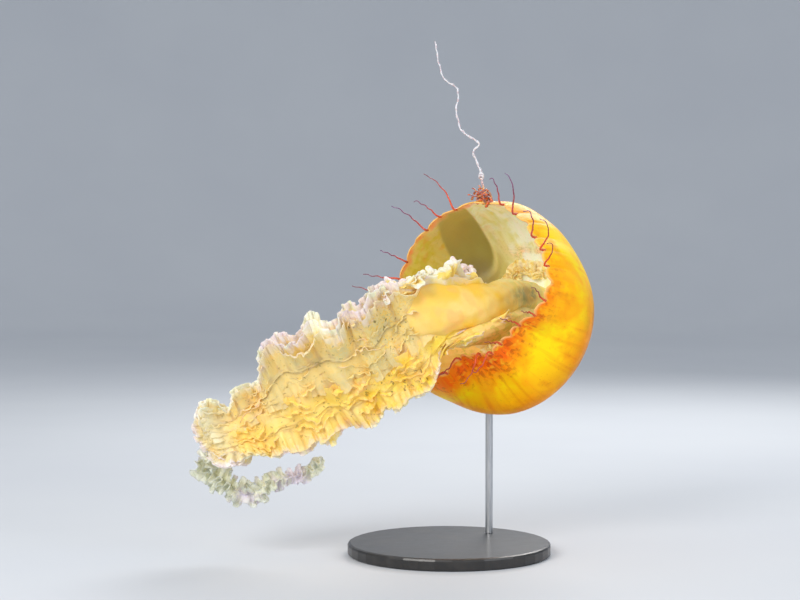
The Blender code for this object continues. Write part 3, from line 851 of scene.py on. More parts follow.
def strip(arm, start, end, lift, waves, rows, seed, lace=1.0, gate=1.0, roam=0.0, curl=0):
    """One frilled strip of an arm.

    start and end are shares of the way across the arm and lift is how far the free edge
    stands off the arm's face. waves is a list of (length, height, how late it grows), and
    gate, between 0 and 1 along the arm, holds the strip down. roam lets its root wander,
    and curl rolls the free edge over, by up to that many degrees to either side."""
    s = arm["distance"]
    t = np.sin(np.linspace(0, math.pi / 2, rows))[:, None]
    uneven = raggedness(s, seed)
    roaming = roam * wander(s / 0.016, seed + 6)
    start, end = start + roaming, end + roaming
    band = arm["outer"] - arm["inner"]
    out_across = band * (end - start) * uneven * gate
    out_deep = arm["outwards"] * lift * uneven * gate * (0.25 + 0.75 * arm["narrow"])
    share = start + (end - start) * t
    phase = math.tau * s / RUFFLE_LENGTH + arm["own"] + 2.0 * share
    swell = RUFFLE * arm["narrow"] * (0.25 + 0.75 * np.abs(share)) * np.sin(phase)
    swell = swell * (0.35 + 0.65 * arm["grown"])
    out = out_across[:, None] * arm["wide"] + out_deep[:, None] * arm["deep"]
    size = np.linalg.norm(out, axis=1)
    normal = unit(np.cross(arm["ahead"], out) + 1e-9)
    bend = math.radians(curl) * (0.35 + 0.9 * wander(s / 0.017, seed + 8)) * blend(0.35, 1.0, t)
    step = np.diff(t, axis=0, prepend=0)
    onward, rolled = np.cumsum(np.cos(bend) * step, axis=0), np.cumsum(np.sin(bend) * step, axis=0)
    height, along = push_of_waves(s, t, waves, arm["grown"], size, seed)
    base = arm["place"] + (arm["inner"] + band * start)[:, None] * arm["wide"]
    faces_out = np.einsum("ij,ij->i", normal, arm["deep"]) * arm["outwards"]
    off_sheet = height + rolled * size * np.sign(faces_out)
    into = arm["middle"] + swell
    middle = (
        base[None] + onward[..., None] * out[None] + into[..., None] * arm["deep"][None]
        + off_sheet[..., None] * normal[None] + along[..., None] * arm["ahead"][None]
    )
    # crest: how far a point stands up on a fold or sinks into it, towards the arm's outer face; where it
    # is low, and near the root of a sheet seen edge on, the finish paints shade
    crest = height / 0.004 * faces_out + swell / RUFFLE * arm["outwards"] * 0.5
    crest = crest + (1 - np.abs(faces_out)) * (2.2 * t - 1.4)
    flat = 0 * t + 0 * s
    marks = dict(
        edge=t + flat, along=(s - STALK_END) / (ARM_END - STALK_END) + flat, crest=crest,
        lace=lace + flat,
    )
    bead = np.sqrt(np.clip(1 - ((t - BEAD_MIDDLE) / BEAD_HALF) ** 2, 0, 1))
    bead = bead * (0.75 + 0.5 * wander(s / 0.003, seed + 2))
    thickness = EDGE_THICKNESS + ROOT_THICKENING * (1 - t) ** 2
    thickness = thickness + BEAD_THICKENING * bead * np.clip(lace, 0.3, 1) + flat
    return middle, thickness, marks


tried = strip(arm_frame(1, 1), 0, 1, 0, [], rows=5, seed=0)[0]
print("a strip without waves has", tried.shape[0], "rows of", tried.shape[1], "points")


# %% [markdown]
# ## Joining strips
# Each sheet of a piece gets its own band of the flat map called OFBake, half of it for
# its front and half for its back. No two places share a spot there, so the colours of
# even tightly folded frills can be worked out once and kept as a flat picture.

# %% Join strips into a piece
def join_sheets(name, sheets, **extra):
    """One piece from sheets, each given as its middle, thickness and marks."""
    points, faces, patch, marks, count = [], [], [], {}, 0
    band = 1 / len(sheets)
    for number, (middle, thickness, own_marks) in enumerate(sheets):
        corners, squares = thickened(middle, thickness)
        points.append(corners)
        faces.append(squares + count)
        count += len(corners)
        rows, columns = middle.shape[:2]
        u = np.tile(np.linspace(0.002, 0.998, columns), rows)
        v = np.repeat(np.linspace(0.04, 0.46, rows), columns)
        for half in (0, 0.5):
            patch.append(np.stack([u, (number + half + v) * band], -1))
        for mark, values in own_marks.items():
            marks.setdefault(mark, []).extend([values.ravel(), values.ravel()])
    marks = {mark: np.concatenate(values) for mark, values in marks.items()}
    marks.update({mark: np.full(count, value) for mark, value in extra.items()})
    return make_piece(name, np.vstack(points), np.vstack(faces).tolist(), marks, np.vstack(patch))


print("every joined piece carries a flat map called OFBake")


# %% Build the arms
# Each list of waves is for one kind of strip: (length, height, how late it grows).
BROAD = [(0.0128, 0.0032, 1.0), (0.0070, 0.0017, 1.6), (0.0042, 0.0008, 2.6)]
INNER = [(0.0230, 0.0030, 1.0), (0.0086, 0.0008, 1.2)]
STANDING = [(0.0104, 0.0028, 0.7), (0.0060, 0.0012, 1.4)]


def build_arm(number, upper, front):
    """The broad strips of an arm as one piece, and its standing rows as another."""
    arm = arm_frame(upper, front)
    s, seed = arm["distance"], 10 * number
    held = 1.0 if upper else 0.15 + 0.85 * blend(0.205, 0.245, s)
    outline = join_sheets(f"arm_{number}_frills", [
        strip(arm, 0.40, 1.02 if upper else 0.97, 0, BROAD, rows=21, seed=seed, gate=held, curl=42),
        strip(arm, 0.42, -0.10, 0.002, INNER, rows=10, seed=seed + 1, lace=0.0),
        strip(arm, 0.45, 0.92, 0.007, BROAD, rows=17, seed=seed + 2, lace=0.45, gate=held, curl=80),
    ], upper=float(upper))
    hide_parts(*(f"oral_arm_{number}_{length}" for length in ("root", "middle", "tip")))
    calm = 1 - 0.75 * bump_at(s, 0.345, 0.036) if upper else 1.0
    rows = []
    for row, share in enumerate((0.05, 0.21, 0.37, 0.54, 0.72)):
        first = 0.212 + 0.030 * share
        if upper and front:
            first = 0.226 + 0.014 * math.sin(2.7 * row)
        stands = np.clip(0.50 + 0.90 * wander(s / 0.0105, seed + 20 + row), 0.03, 1.15)
        open_row = blend(first - 0.008, first + 0.014, s) * stands * (calm if row else 1.0)
        rise = 0.0080 + 0.0018 * math.sin(2.3 * row + seed)
        rows.append(strip(
            arm, share, share + 0.06 + 0.08 * share, rise, STANDING, rows=9, seed=seed + 3 + row,
            lace=0.20 * share, gate=open_row, roam=0.13, curl=75,
        ))
    folds = join_sheets(f"arm_{number}_folds", rows, upper=float(upper))
    return [outline, folds]


arms = [*build_arm(1, 1, 1), *build_arm(2, 0, 1), *build_arm(3, 1, 0), *build_arm(4, 0, 0)]


# %% [markdown]
# ## Frills round the arms' ends
# The waves of a strip run along its arm, so they fade out where the outline turns round
# the arm's end. A strip of its own follows that turn, from the upper edge round to the
# lower one. It is made by the same function, given the outline as its route.

# %% Build the frills of the ends
END_FROM = 0.462  # where along the bundle the end frills begin
END_FADE = 0.014


def build_end_frill(name, front):
    upper, lower = arm_frame(1, front), arm_frame(0, front)
    outline = []
    for arm, order in ((upper, 1), (lower, -1)):
        edge = (
            arm["place"] + arm["outer"][:, None] * arm["wide"] + arm["middle"][:, None] * arm["deep"]
        )
        outline.append(edge[arm["distance"] > END_FROM][::order])
    path = curve_through(np.vstack(outline)[::9], step=0.0004)
    _, ahead, _, deep = bundle_at(np.array([0.470]))
    forwards = unit(np.gradient(path, axis=0))
    across = unit(deep - (forwards @ deep[0])[:, None] * forwards)
    outwards = unit(np.cross(across, forwards))
    outwards = outwards * np.sign((outwards[len(path) // 2] * ahead[0]).sum())
    arc = travelled(path)
    shown = blend(0.0, END_FADE, arc) * (1 - blend(arc[-1] - END_FADE, arc[-1], arc))
    end = dict(
        distance=arc, place=path, ahead=forwards, wide=outwards, deep=across, own=0.4 * front,
        narrow=np.full_like(arc, 0.6), inner=-0.008, outer=0.009, middle=0.0, grown=shown,
        outwards=-1 if front else 1,
    )
    sheets = []
    for layer, (reach, lift) in enumerate(((1.0, 0.000), (0.85, 0.005))):
        sheet = strip(
            end, 0.0, reach, lift, BROAD, rows=15, seed=90 + 7 * layer + front, lace=0.9,
            gate=shown, curl=40,
        )
        sheet[2]["along"] = np.full_like(sheet[2]["edge"], 0.94)
        sheets.append(sheet)
    frill = join_sheets(name, sheets, upper=0.5)
    return frill


end_frills = [build_end_frill("end_frill_front", 1), build_end_frill("end_frill_back", 0)]


# %% [markdown]
# ## The curled lips at the bell's mouth
# Beside the smooth mass of the first arm the upper lip breaks out in a tight white curl,
# just inside the bell's opening. The second arm's lower edge has a small yellowish
# frill there. Both are more strips, which grow out of the edge and bend back over it.

# %% Build the curled lips
TIGHT = [(0.0118, 0.0042, 0.5), (0.0064, 0.0014, 1.2), (0.0042, 0.0005, 2.5)]


def build_mouth_lip(name, upper, edge_share, rise, shown, layers, lace):
    """Curled strips from an arm's edge; rise is how far they stand up at each station."""
    arm = arm_frame(upper, 1, shown[0] - 0.004)
    s = arm["distance"]
    arm["grown"] = arm["narrow"] = np.ones_like(s)
    arm["outer"] = arm["outer"] * edge_share
    arm["inner"] = arm["outer"] - rise(s) * (1 if upper else -1)
    kept = (s > shown[0]) & (s < shown[1])
    sheets = []
    for number, (lean, height) in enumerate(layers):
        sheet, thickness, marks = strip(
            arm, 1.0, 1.0 + height, lean, TIGHT, rows=16, seed=70 + number, lace=lace, curl=130
        )
        marks = {mark: values[:, kept] for mark, values in marks.items()}
        sheets.append((sheet[:, kept], thickness[:, kept], marks))
    lip = join_sheets(name, sheets, upper=float(upper))
    return lip


def upper_rise(s):
    rise = 0.010 * bump_at(s, 0.138, 0.010) + 0.014 * bump_at(s, 0.160, 0.024)
    return rise + 0.012 * bump_at(s, 0.208, 0.026)


def lower_rise(s):
    return 0.0105 * bump_at(s, 0.160, 0.034)


mouth_lips = [
    build_mouth_lip("mouth_lip_upper", 1, 0.90, upper_rise, (0.136, 0.250),
                    ((-0.012, 0.7), (-0.005, 1.0), (0.004, 0.85), (0.012, 0.9)), 1.2),
    build_mouth_lip("mouth_lip_lower", 0, 0.80, lower_rise, (0.124, 0.212),
                    ((-0.010, 0.5), (-0.004, 1.0), (0.004, 0.9)), 0.6),
]


# %% [markdown]
# ## The curls on the upper lip
# In a few places the upper lip has rolled up into tight white knobs, too tight for a
# strip to follow. Each knob is a ball whose radius swells along winding ridges. They sit
# close together along the lip, each turned its own way, and sink into the strips.

# %% Build the curls on the upper lip
CURL_PLACES = [  # (distance along the bundle, how far up from its middle, size)
    (0.113, 0.054, 0.0044), (0.117, 0.048, 0.0046), (0.120, 0.055, 0.0046), (0.122, 0.043, 0.0044),
    (0.127, 0.058, 0.0054), (0.134, 0.063, 0.0058), (0.142, 0.067, 0.0060), (0.151, 0.066, 0.0056),
    (0.127, 0.050, 0.0050), (0.131, 0.044, 0.0048),
    (0.147, 0.057, 0.0050), (0.159, 0.062, 0.0052), (0.168, 0.063, 0.0048), (0.176, 0.066, 0.0054),
    (0.186, 0.069, 0.0058), (0.195, 0.069, 0.0052), (0.190, 0.061, 0.0050), (0.202, 0.067, 0.0048),
    (0.210, 0.071, 0.0048), (0.178, 0.058, 0.0044), (0.137, 0.055, 0.0048), (0.218, 0.073, 0.0044),
]


def curl_lobe(centre, size, number):
    """A rounded lobe of a frill that has rolled up on itself."""
    around, over = np.meshgrid(math.tau * np.arange(26) / 26, math.pi * np.linspace(0.02, 0.98, 17))
    ridge = np.abs(np.sin(1.5 * around + 1.9 * over + 1.3 * number + 0.8 * np.sin(2 * over + number)))
    ridge = ridge * np.sin(over)
    fine = 0.5 + 0.5 * np.sin(5 * around + 7 * over + 2.1 * number)
    radius = size * (0.76 + 0.32 * ridge**0.8 + 0.06 * fine * np.sin(over))
    way = np.stack([np.sin(over) * np.cos(around), 0.75 * np.sin(over) * np.sin(around),
                    (1.15 + 0.25 * math.sin(1.7 * number)) * np.cos(over)], -1)
    turn = np.array([math.cos(2.4 * number), 0.3, math.sin(2.4 * number)])
    across = unit(np.cross(turn, (0.2, 1.0, 0.1)))
    axes = np.stack([unit(turn), across, np.cross(unit(turn), across)])
    points = centre + radius[..., None] * (way @ axes)
    return points, ridge


def build_lip_curls():
    lobes = []
    for number, (distance, up, size) in enumerate(CURL_PLACES):
        place, _, wide, deep = (value[0] for value in bundle_at(np.array([distance])))
        centre = place + up * wide - (0.010 + 0.004 * math.sin(2.3 * number)) * deep
        lobe, ridge = curl_lobe(centre, size, number)
        # crest follows the ridges, so the finish paints shade in the grooves between them
        lobes.append((lobe, dict(
            edge=0.74 + 0.34 * ridge, crest=1.4 * ridge - 0.4, along=0.25, lace=1.1, upper=1.0
        )))
    curls = join_tubes("mouth_lip_curls", lobes)
    return curls


mouth_lips.append(build_lip_curls())


# %% [markdown]
# ## The gonads
# Four ruffled golden ribbons lie on the lining round the foot of the stalk, each bent
# like a horseshoe. Each is four of the same strips side by side, leaning apart, with a
# path on the lining as their route.

# %% Build the gonads
RUFFLED = [(0.0092, 0.0028, 0.5), (0.0050, 0.0009, 1.0)]
GONAD_DIRECTIONS, GONAD_LEANS, GONAD_FADE = (98, 188, 278, 8), (-0.026, -0.009, 0.009, 0.026), 0.008


def build_gonads():
    sheets, t = [], np.linspace(0, 1, 240)
    for number, middle in enumerate(GONAD_DIRECTIONS):
        angle = math.radians(middle) + math.radians(29) * np.sin(math.pi * (t - 0.5))
        share = 0.225 + 0.075 * np.cos(math.pi * (t - 0.5)) + 0.011 * wander(20 * t, number)
        path = bell_place(share, angle, wall_thickness(share) - 0.0010)
        inwards = unit(bell_place(share, angle, wall_thickness(share) + 0.004) - path)
        forwards = unit(np.gradient(path, axis=0))
        arc = travelled(path)
        shown = blend(0, GONAD_FADE, arc) * (1 - blend(arc[-1] - GONAD_FADE, arc[-1], arc))
        ribbon = dict(
            distance=arc, place=path, ahead=forwards, wide=inwards, deep=np.cross(forwards, inwards),
            own=number, narrow=np.full_like(arc, 0.25), inner=0.0, outer=0.0080, middle=0.0,
            grown=shown, outwards=1,
        )
        for layer, lean in enumerate(GONAD_LEANS):
            reach, seed = 1.0 - 12 * abs(lean), 130 + 5 * number + layer
            sheets.append(strip(
                ribbon, 0.0, reach, lean, RUFFLED, rows=9, seed=seed, lace=0.3, gate=shown, curl=90
            ))
    gonads = join_sheets("gonad_ribbons", sheets)
    return gonads


gonads = build_gonads()


# %% [markdown]
# ## The thin end of the fourth arm
# Towards its end an arm is worn down to a thin, clear, lacy strand. This one hangs
# below the others and turns back. Four narrow strips fan out from one line and twist
# as they go, and they fill the round space that the solid gives them.

# %% Build the strand
STRAND_ROUTE = [
    (-0.287, -0.024, 0.104), (-0.267, -0.026, 0.092), (-0.248, -0.028, 0.079),
    (-0.232, -0.030, 0.074), (-0.211, -0.034, 0.088), (-0.187, -0.036, 0.096),
    (-0.163, -0.038, 0.101), (-0.148, -0.038, 0.119),
]
STRAND_RADIUS, STRAND_LENGTH, STRAND_STRIPS = 0.0152, 0.22, 4
LACY = [(0.0125, 0.0050, 0.8), (0.0064, 0.0026, 1.4), (0.0040, 0.0010, 2.5)]


def build_strand():
    place, ahead, wide, deep = bundle_at(np.array([ARM_END]))
    reach = -bundle_reach(np.array([ARM_END]), False)[0] * 0.5
    start = place[0] + reach * wide[0] + 0.35 * LAYER_DEPTH * deep[0]
    route = [tuple(start - 0.012 * ahead[0]), tuple(start + 0.005 * ahead[0]), *STRAND_ROUTE]
    path = curve_through(route, step=0.00042)
    forwards, across, side = frames_along(path, np.array([0.2, 0.9, 0.3]))
    share = np.linspace(0, 1, len(path))
    length = STRAND_LENGTH * share
    radius = STRAND_RADIUS * (1 + 0.16 * np.sin(7.5 * math.tau * share)) * (1 - 0.40 * share)
    radius = radius * (1 + 0.30 * bump_at(share, 0.40, 0.24))
    radius = radius * blend(-0.30, 0.12, share) * np.sqrt(np.clip(1 - share**24, 0.02, 1))
    t = np.linspace(0, 1, 12)[:, None]
    sheets = []
    for number in range(STRAND_STRIPS):
        turn = math.tau * (0.8 * share + number / STRAND_STRIPS) + 0.6 * wander(length / 0.02, number)
        lead = np.cos(turn)[:, None] * across + np.sin(turn)[:, None] * side
        lift = np.cross(forwards, lead)
        height, along = 0 * t + 0 * share, 0 * t + 0 * share
        for order, (wave, amount, late) in enumerate(LACY):
            amount = amount * t**late * (0.4 + 0.6 * radius / STRAND_RADIUS)
            angle = math.tau * length / wave + 1.6 * wander(length / (3 * wave), 31 + order + 7 * number)
            angle = angle + 2.1 * number + 1.2 * t
            height = height + amount * np.sin(angle)
            along = along - 0.34 * amount * np.sin(2 * angle)
        ragged = 1 + 0.12 * wander(length / 0.0045, 50 + number)
        middle = (
            path[None] + (t * radius * ragged)[..., None] * lead[None]
            + height[..., None] * lift[None] + along[..., None] * forwards[None]
        )
        flat = 0 * t + 0 * share
        # crest is low near the middle line, where the finish paints shade
        marks = dict(edge=t + flat, along=1 + share + flat, crest=2 * t - 1 + flat, lace=1.0 + flat)
        sheets.append((middle, 0.0005 + 0.0010 * (1 - t) + 0 * share, marks))
    strand = join_sheets("strand_frills", sheets, upper=0.0)
    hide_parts("oral_arm_4_strand")
    return strand


strand_frills = build_strand()


# %% [markdown]
# ## The tentacles
# Twenty-four tentacles stand in the notches of the rim, three between each two sense
# organs, which leaves every fourth notch free. They are drawn in short here, except one
# that is let out above the bell. Each is a tapered tube on a smooth curve with a few
# kinks, starting where its solid starts.

# %% A short tentacle's way
TENTACLE_BASE, TENTACLE_TIP = 0.0014, 0.0004
DRIFT = np.array([-0.55, 0.0, 0.12])
LONG_TENTACLE = 7  # the notch of the one that is let out
THREAD_SIDES = 10
THREAD_START = np.array([0.1, 0.3, 0.9])  # a direction to measure turns about a thread from


def notch_at(index):
    """Middle of the rim's edge at a notch, the way the rim points there, and outwards."""
    angle = math.tau * index / LAPPETS
    share = np.array([1.0, 0.99, 1.0, 1.0])
    spots = bell_place(share, angle + np.array([0, 0, -0.02, 0.02]), RIM_THICKNESS / 2)
    edge, along_rim = spots[0], unit(spots[3] - spots[2])
    onward = edge - spots[1]
    onward = unit(onward - onward @ along_rim * along_rim)
    outwards = np.cos(angle) * RIGHT + np.sin(angle) * UP
    return edge, onward, outwards, angle


def tentacle_route(index, number):
    """Points on a short tentacle's way: out of its notch, over, and round in a hook."""
    edge, onward, outwards, angle = notch_at(index)
    inward = math.exp(-((turned(angle, 328) / math.radians(30)) ** 4))
    under_arms = math.exp(-((turned(angle, 214) / math.radians(25)) ** 2))
    length = 0.030 + 0.014 * math.sin(1.9 * number + 0.4) ** 2
    length *= 1 - 0.50 * max(inward, under_arms)
    lean = (1 - 0.9 * inward) * outwards + 0.8 * inward * BELL_FACING
    lean = lean + (1 - inward) * DRIFT - 0.4 * under_arms * BELL_FACING
    lean = unit(lean + 0.20 * math.sin(2.4 * number + 0.7) * np.cross(BELL_FACING, outwards))
    hook = 0.30 * length * (DRIFT - 0.4 * math.cos(1.3 * number) * BELL_FACING)
    stands = 0.0045 + 0.0015 * inward
    turning = edge + stands * onward
    return [
        edge - 0.0015 * onward, edge + 0.6 * stands * onward,
        turning + 0.004 * unit(onward + 1.5 * lean),
        turning + 0.55 * length * lean, turning + 0.95 * length * lean + 0.8 * hook,
        turning + (0.98 + 0.1 * math.sin(3.7 * number)) * length * lean + 1.9 * hook,
    ]


print("first short tentacle ends at", tentacle_route(1, 1)[-1].round(3))


# %% Build the short tentacles
def build_tentacles():
    tubes, names = [], []
    notches = [index for index in range(LAPPETS) if index % 4]
    for number, index in enumerate(notches, 1):
        if index == LONG_TENTACLE:
            continue
        names.append(f"tentacle_{number:02d}")
        path = curve_through(tentacle_route(index, number), step=0.0006)
        share = np.linspace(0, 1, len(path))
        wobble = 0.0007 * blend(0.15, 0.6, share) * np.sin(26 * share + 2 * number)
        _, across, side = frames_along(path, THREAD_START)
        path = path + wobble[:, None] * across + 0.8 * wobble[::-1][:, None] * share[:, None] * side
        radii = TENTACLE_TIP + (TENTACLE_BASE - TENTACLE_TIP) * (1 - share) ** 1.3
        radii = radii * (1 + 0.10 * np.sin(90 * share + number))
        tucked_in = math.exp(-((turned(math.tau * index / LAPPETS, 300) / math.radians(55)) ** 4))
        kind = (0.5 + 0.5 * math.sin(5.1 * number)) * (1 - tucked_in)
        tubes.append((tube_points(path, radii, THREAD_SIDES), dict(along=share[:, None], kind=kind)))
    tentacles = join_tubes("tentacles_skin", tubes)
    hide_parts(*names)
    return tentacles


tentacles_skin = build_tentacles()


# %% [markdown]
# ## The long thread
# One tentacle is let out above the bell as a thin pale thread, with a coil low down and
# a knot on its way. Round its foot seven short tentacles have curled up into a dark red
# clump. Each of them is a tube on a spiral that swells and closes again, from the rim to
# its own top.

# %% Build the long thread
LONG_ROUTE = [
    (0.038, 0.060, 0.455), (0.030, 0.060, 0.475), (0.037, 0.062, 0.486),
    (0.017, 0.064, 0.501), (0.010, 0.066, 0.525), (0.012, 0.066, 0.550),
    (0.000, 0.064, 0.559), (-0.009, 0.062, 0.573), (-0.016, 0.060, 0.608),
]
CLUMP_TOPS = [
    (0.024, 0.057, 0.424), (0.029, 0.062, 0.432), (0.034, 0.056, 0.428), (0.037, 0.063, 0.435),
    (0.041, 0.058, 0.427), (0.046, 0.061, 0.431), (0.050, 0.057, 0.421),
]


def curled_tentacle(foot, top, number):
    """A thread that winds round the line from its foot to its top."""
    t = np.linspace(0, 1, 210)
    around = unit(np.array([math.cos(2.1 * number), 0.4, math.sin(2.1 * number)]))
    beside = unit(np.cross(around, (0.3, 1.0, 0.2)))
    wide = 0.0048 * np.sin(math.pi * t**0.7) ** 0.7 * (0.75 + 0.25 * math.sin(3 * number))
    phase = math.tau * (2.5 + 0.45 * number) * t + number
    spiral = (wide * np.cos(phase))[:, None] * around + (wide * np.sin(phase))[:, None] * beside
    radii = (0.0013 - 0.0006 * t) * (1 + 0.15 * np.sin(70 * t))
    return tube_points(foot + t[:, None] * (np.array(top) - foot) + spiral, radii, THREAD_SIDES)


def build_long_thread():
    edge, onward, outwards, _ = notch_at(LONG_TENTACLE)
    route = [edge - 0.0015 * onward, edge + 0.006 * onward + 0.003 * outwards, *LONG_ROUTE]
    path = curve_through(route, step=0.0004)
    share = np.linspace(0, 1, len(path))
    _, across, side = frames_along(path, THREAD_START)
    kinks = 0.0008 * blend(0.05, 0.3, share) * (1 - blend(0.97, 1, share))
    coil = 0.0030 * blend(0.006, 0.030, share) * (1 - blend(0.06, 0.16, share))
    knot = 0.0026 * bump_at(share, 0.225, 0.022)
    swing = kinks * wander(share * 60, 3) + coil * np.sin(190 * share) + knot * np.sin(420 * share)
    sway = kinks * wander(share * 70, 8) + coil * np.cos(270 * share) + knot * np.cos(420 * share)
    path = path + swing[:, None] * across + sway[:, None] * side
    radii = (0.0015 - 0.0007 * share) * (1 + 0.22 * np.sin(150 * share) * blend(0.1, 0.3, share))
    tubes = [(tube_points(path, radii, THREAD_SIDES), dict(along=share[:, None]))]
    for number, top in enumerate(CLUMP_TOPS):
        foot = edge - 0.002 * onward + np.array([0.35 * (top[0] - edge[0]), 0, 0])
        tubes.append((curled_tentacle(foot, top, number), dict(along=0.016 * number)))
    thread = join_tubes("long_thread_skin", tubes)
    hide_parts("tentacle_06", "tentacle_06_end")
    return thread


long_thread_skin = build_long_thread()


# %% [markdown]
# ## Colours of the bell
# The colour of a sea nettle lies in grains in its thin skin: gold and amber with paler
# clouds, and a red-orange fringe at the rim that breaks up into rays. The inside shows
# the jelly's own olive and straw tones, with whitish muscle folds. All of it is worked
# out from the numbers on the points: the share of the way to the rim, and two that say
# how far right and how far up a point lies, which together name a direction without a
# seam where the circle closes. Light that sinks in and comes out again elsewhere
# (subsurface scattering) makes the jelly soft.

# %% Paints for the bell
AMBER, YELLOW, GOLD = (255, 178, 4), (255, 214, 8), (232, 152, 18)
BURNT, FLAME, RUST = (214, 110, 4), (252, 106, 2), (140, 44, 14)
OLIVE, STRAW, LEAF = (186, 174, 100), (222, 212, 140), (226, 218, 96)
MILK, BLUSH, BLACK = (240, 240, 214), (243, 190, 150), (0.0, 0.0, 0.0)
print("amber in linear values:", [round(part, 3) for part in paint(AMBER)])


# %% Directions and streaks on the bell
class BellFinish(Finish):
    """A finish that can tell directions round the bell."""

    def __init__(self, name):
        super().__init__(name)
        self.share, self.rightness, self.upness = map(self.mark, ("share", "rightness", "upness"))
        self.soft, self.fine = self.cloud(0.055), self.cloud(0.016, 3)
        self.grain = self.cloud(0.0022, 2)

    def towards(self, degrees, low, high):
        """1 on the side of the bell that lies in this direction, 0 away from it."""
        lean = math.radians(degrees)
        return (self.rightness * math.cos(lean) + self.upness * math.sin(lean)).ramp(low, high)

    def rays(self, count, seed):
        """Streaks that run from the apex to the rim, about this many on the way round."""
        x, y = self.rightness * (count / 6), self.upness * (count / 6)
        where = self.node(
            "ShaderNodeCombineXYZ", None, {"X": x, "Y": y, "Z": self.share * 3.0 + seed}
        )
        return self.node("ShaderNodeTexNoise", None, {"Vector": where, "Scale": 1.0, "Detail": 2.0})


bell = BellFinish("bell_flesh_finish")
print("bell finish begun with", len(bell.tree.nodes), "nodes")


# %% The outside of the bell
def outside_colour():
    share, soft, fine = bell.share, bell.soft, bell.fine
    below = 0.35 + 0.65 * bell.towards(295, 0.1, 0.8)
    ragged = share + (fine - 0.5) * 0.09 + (soft - 0.5) * 0.10
    ragged = ragged + 0.065 * bell.towards(262, 0.45, 0.95)
    # darker burnt orange in blotches on the lower side of the bell; flank and keel darken its right
    # flank and underside
    lower_side_blotches = bell.towards(285, -0.15, 0.75) * share.near(0.56, 0.26) * (0.5 + fine).held()
    fringe = (ragged.ramp(0.90, 0.99) * below * (0.55 + bell.rays(150, 3))).held()
    dashes = bell.cloud(0.0062, 2).ramp(0.46, 0.60) * bell.rays(110, 8).ramp(0.40, 0.52)
    sparks = bell.cloud(0.0075, 1).ramp(0.58, 0.68)
    flank = bell.towards(338, 0.78, 0.97) * share.near(0.52, 0.22)
    keel = bell.towards(272, 0.70, 0.97) * share.near(0.62, 0.24)
    return bell.layers(
        AMBER,
        ((soft * 0.8 + fine * 0.3).ramp(0.46, 0.60), YELLOW),
        ((bell.cloud(0.036, 3) - 0.1 * share).ramp(0.48, 0.62) * 0.55, BURNT),
        ((1 - share).ramp(0.45, 0.95) * (0.4 + fine).held() * 0.8, GOLD),
        (lower_side_blotches * 0.75, BURNT),
        (bell.rays(90, 0).ramp(0.52, 0.70) * share.ramp(0.12, 0.70) * 0.34, BURNT),
        (fringe, FLAME),
        (dashes * ragged.ramp(0.87, 0.95) * below * 0.46, RUST),
        (sparks * ragged.ramp(0.88, 0.96) * below * 0.65, (252, 184, 40)),
        (flank * (soft * 0.7 + fine * 0.6).ramp(0.48, 0.68) * 0.90, (182, 94, 8)),
        (keel * (soft * 0.5 + fine * 0.6).ramp(0.46, 0.62) * 0.70, (222, 104, 6)),
        (bell.grain.ramp(0.62, 0.72) * 0.22, RUST),
    )


outside = outside_colour()
print("outside colour made,", len(bell.tree.nodes), "nodes so far")


# %% [markdown]
# ## The lining of the bell
# Inside, one side is olive and leaf green, the other pale with milky folds and a warm
# band. The hollow between them is plain, painted dark olive as shade, darker towards its
# lower end, and the dim place under it is painted grey-brown as shade. The milky folds
# are the lining's own colour, and paler where the wall's folds stand up, which is a
# painted highlight. The whole bell gets a painted glow, an emission that stands in for
# light coming through the jelly: most on the pale part, where the daylight outside comes
# through the wall, and least in the hollow.

# %% The lining of the bell
def lining_colour(hollow, pale, warm):
    share, soft, fine, grain = bell.share, bell.soft, bell.fine, bell.grain
    dotted = bell.towards(190, 0.93, 0.99) * share.near(0.45, 0.10)
    # milky muscle folds: the streaks are the lining's own colour, and the relief share makes them paler
    # where the wall's folds stand up, a painted highlight
    folds = (bell.rays(120, 5) * 1.2 + bell.mark("relief") * 0.25).ramp(0.50, 0.78)
    flecks = bell.towards(150, 0.2, 0.8) * (1 - hollow) * share.ramp(0.55, 0.75)
    near_edge = share + fine * 0.12
    blushing = bell.layers(BLUSH, (grain.ramp(0.45, 0.6), (188, 150, 96)))
    shaded = bell.layers((138, 128, 62), ((share + 0.3 * soft).ramp(0.58, 0.95), (186, 180, 106)))
    return bell.layers(
        OLIVE,
        ((share + soft * 0.3).ramp(0.50, 0.95), STRAW),
        (bell.towards(160, 0.80, 0.97) * share.ramp(0.55, 0.85), LEAF),
        (bell.towards(235, 0.10, 0.75), (246, 204, 116)),
        (dotted * bell.cloud(0.0070, 2).ramp(0.46, 0.56) * 0.8, (204, 184, 40)),
        (pale * 0.90, (240, 236, 186)),
        (folds * share.ramp(0.30, 0.50) * (0.10 + 0.80 * pale), MILK),
        (warm * 0.75, blushing),
        (bell.rays(64, 11).ramp(0.47, 0.60) * pale * 0.45, (196, 204, 104)),
        (bell.cloud(0.021, 2).ramp(0.44, 0.56) * pale * 0.8, (234, 240, 228)),
        # painted shade: the hollow dark olive, darker towards its lower end, and the dim place under it
        # grey-brown
        (hollow * 0.92, shaded),
        ((bell.mark("dim") * (0.75 + 0.5 * fine)).held() * 0.8, (132, 120, 84)),
        (flecks * bell.cloud(0.013, 2).ramp(0.50, 0.60) * 0.6, (214, 206, 60)),
        (flecks * bell.cloud(0.017, 1).ramp(0.60, 0.70) * 0.25, (232, 158, 74)),
        (near_edge.ramp(0.985, 1.05) * 0.8, BLUSH),
        (near_edge.ramp(1.01, 1.08) * 0.8, FLAME),
        (grain.ramp(0.60, 0.72) * 0.14, (150, 124, 66)),
    )


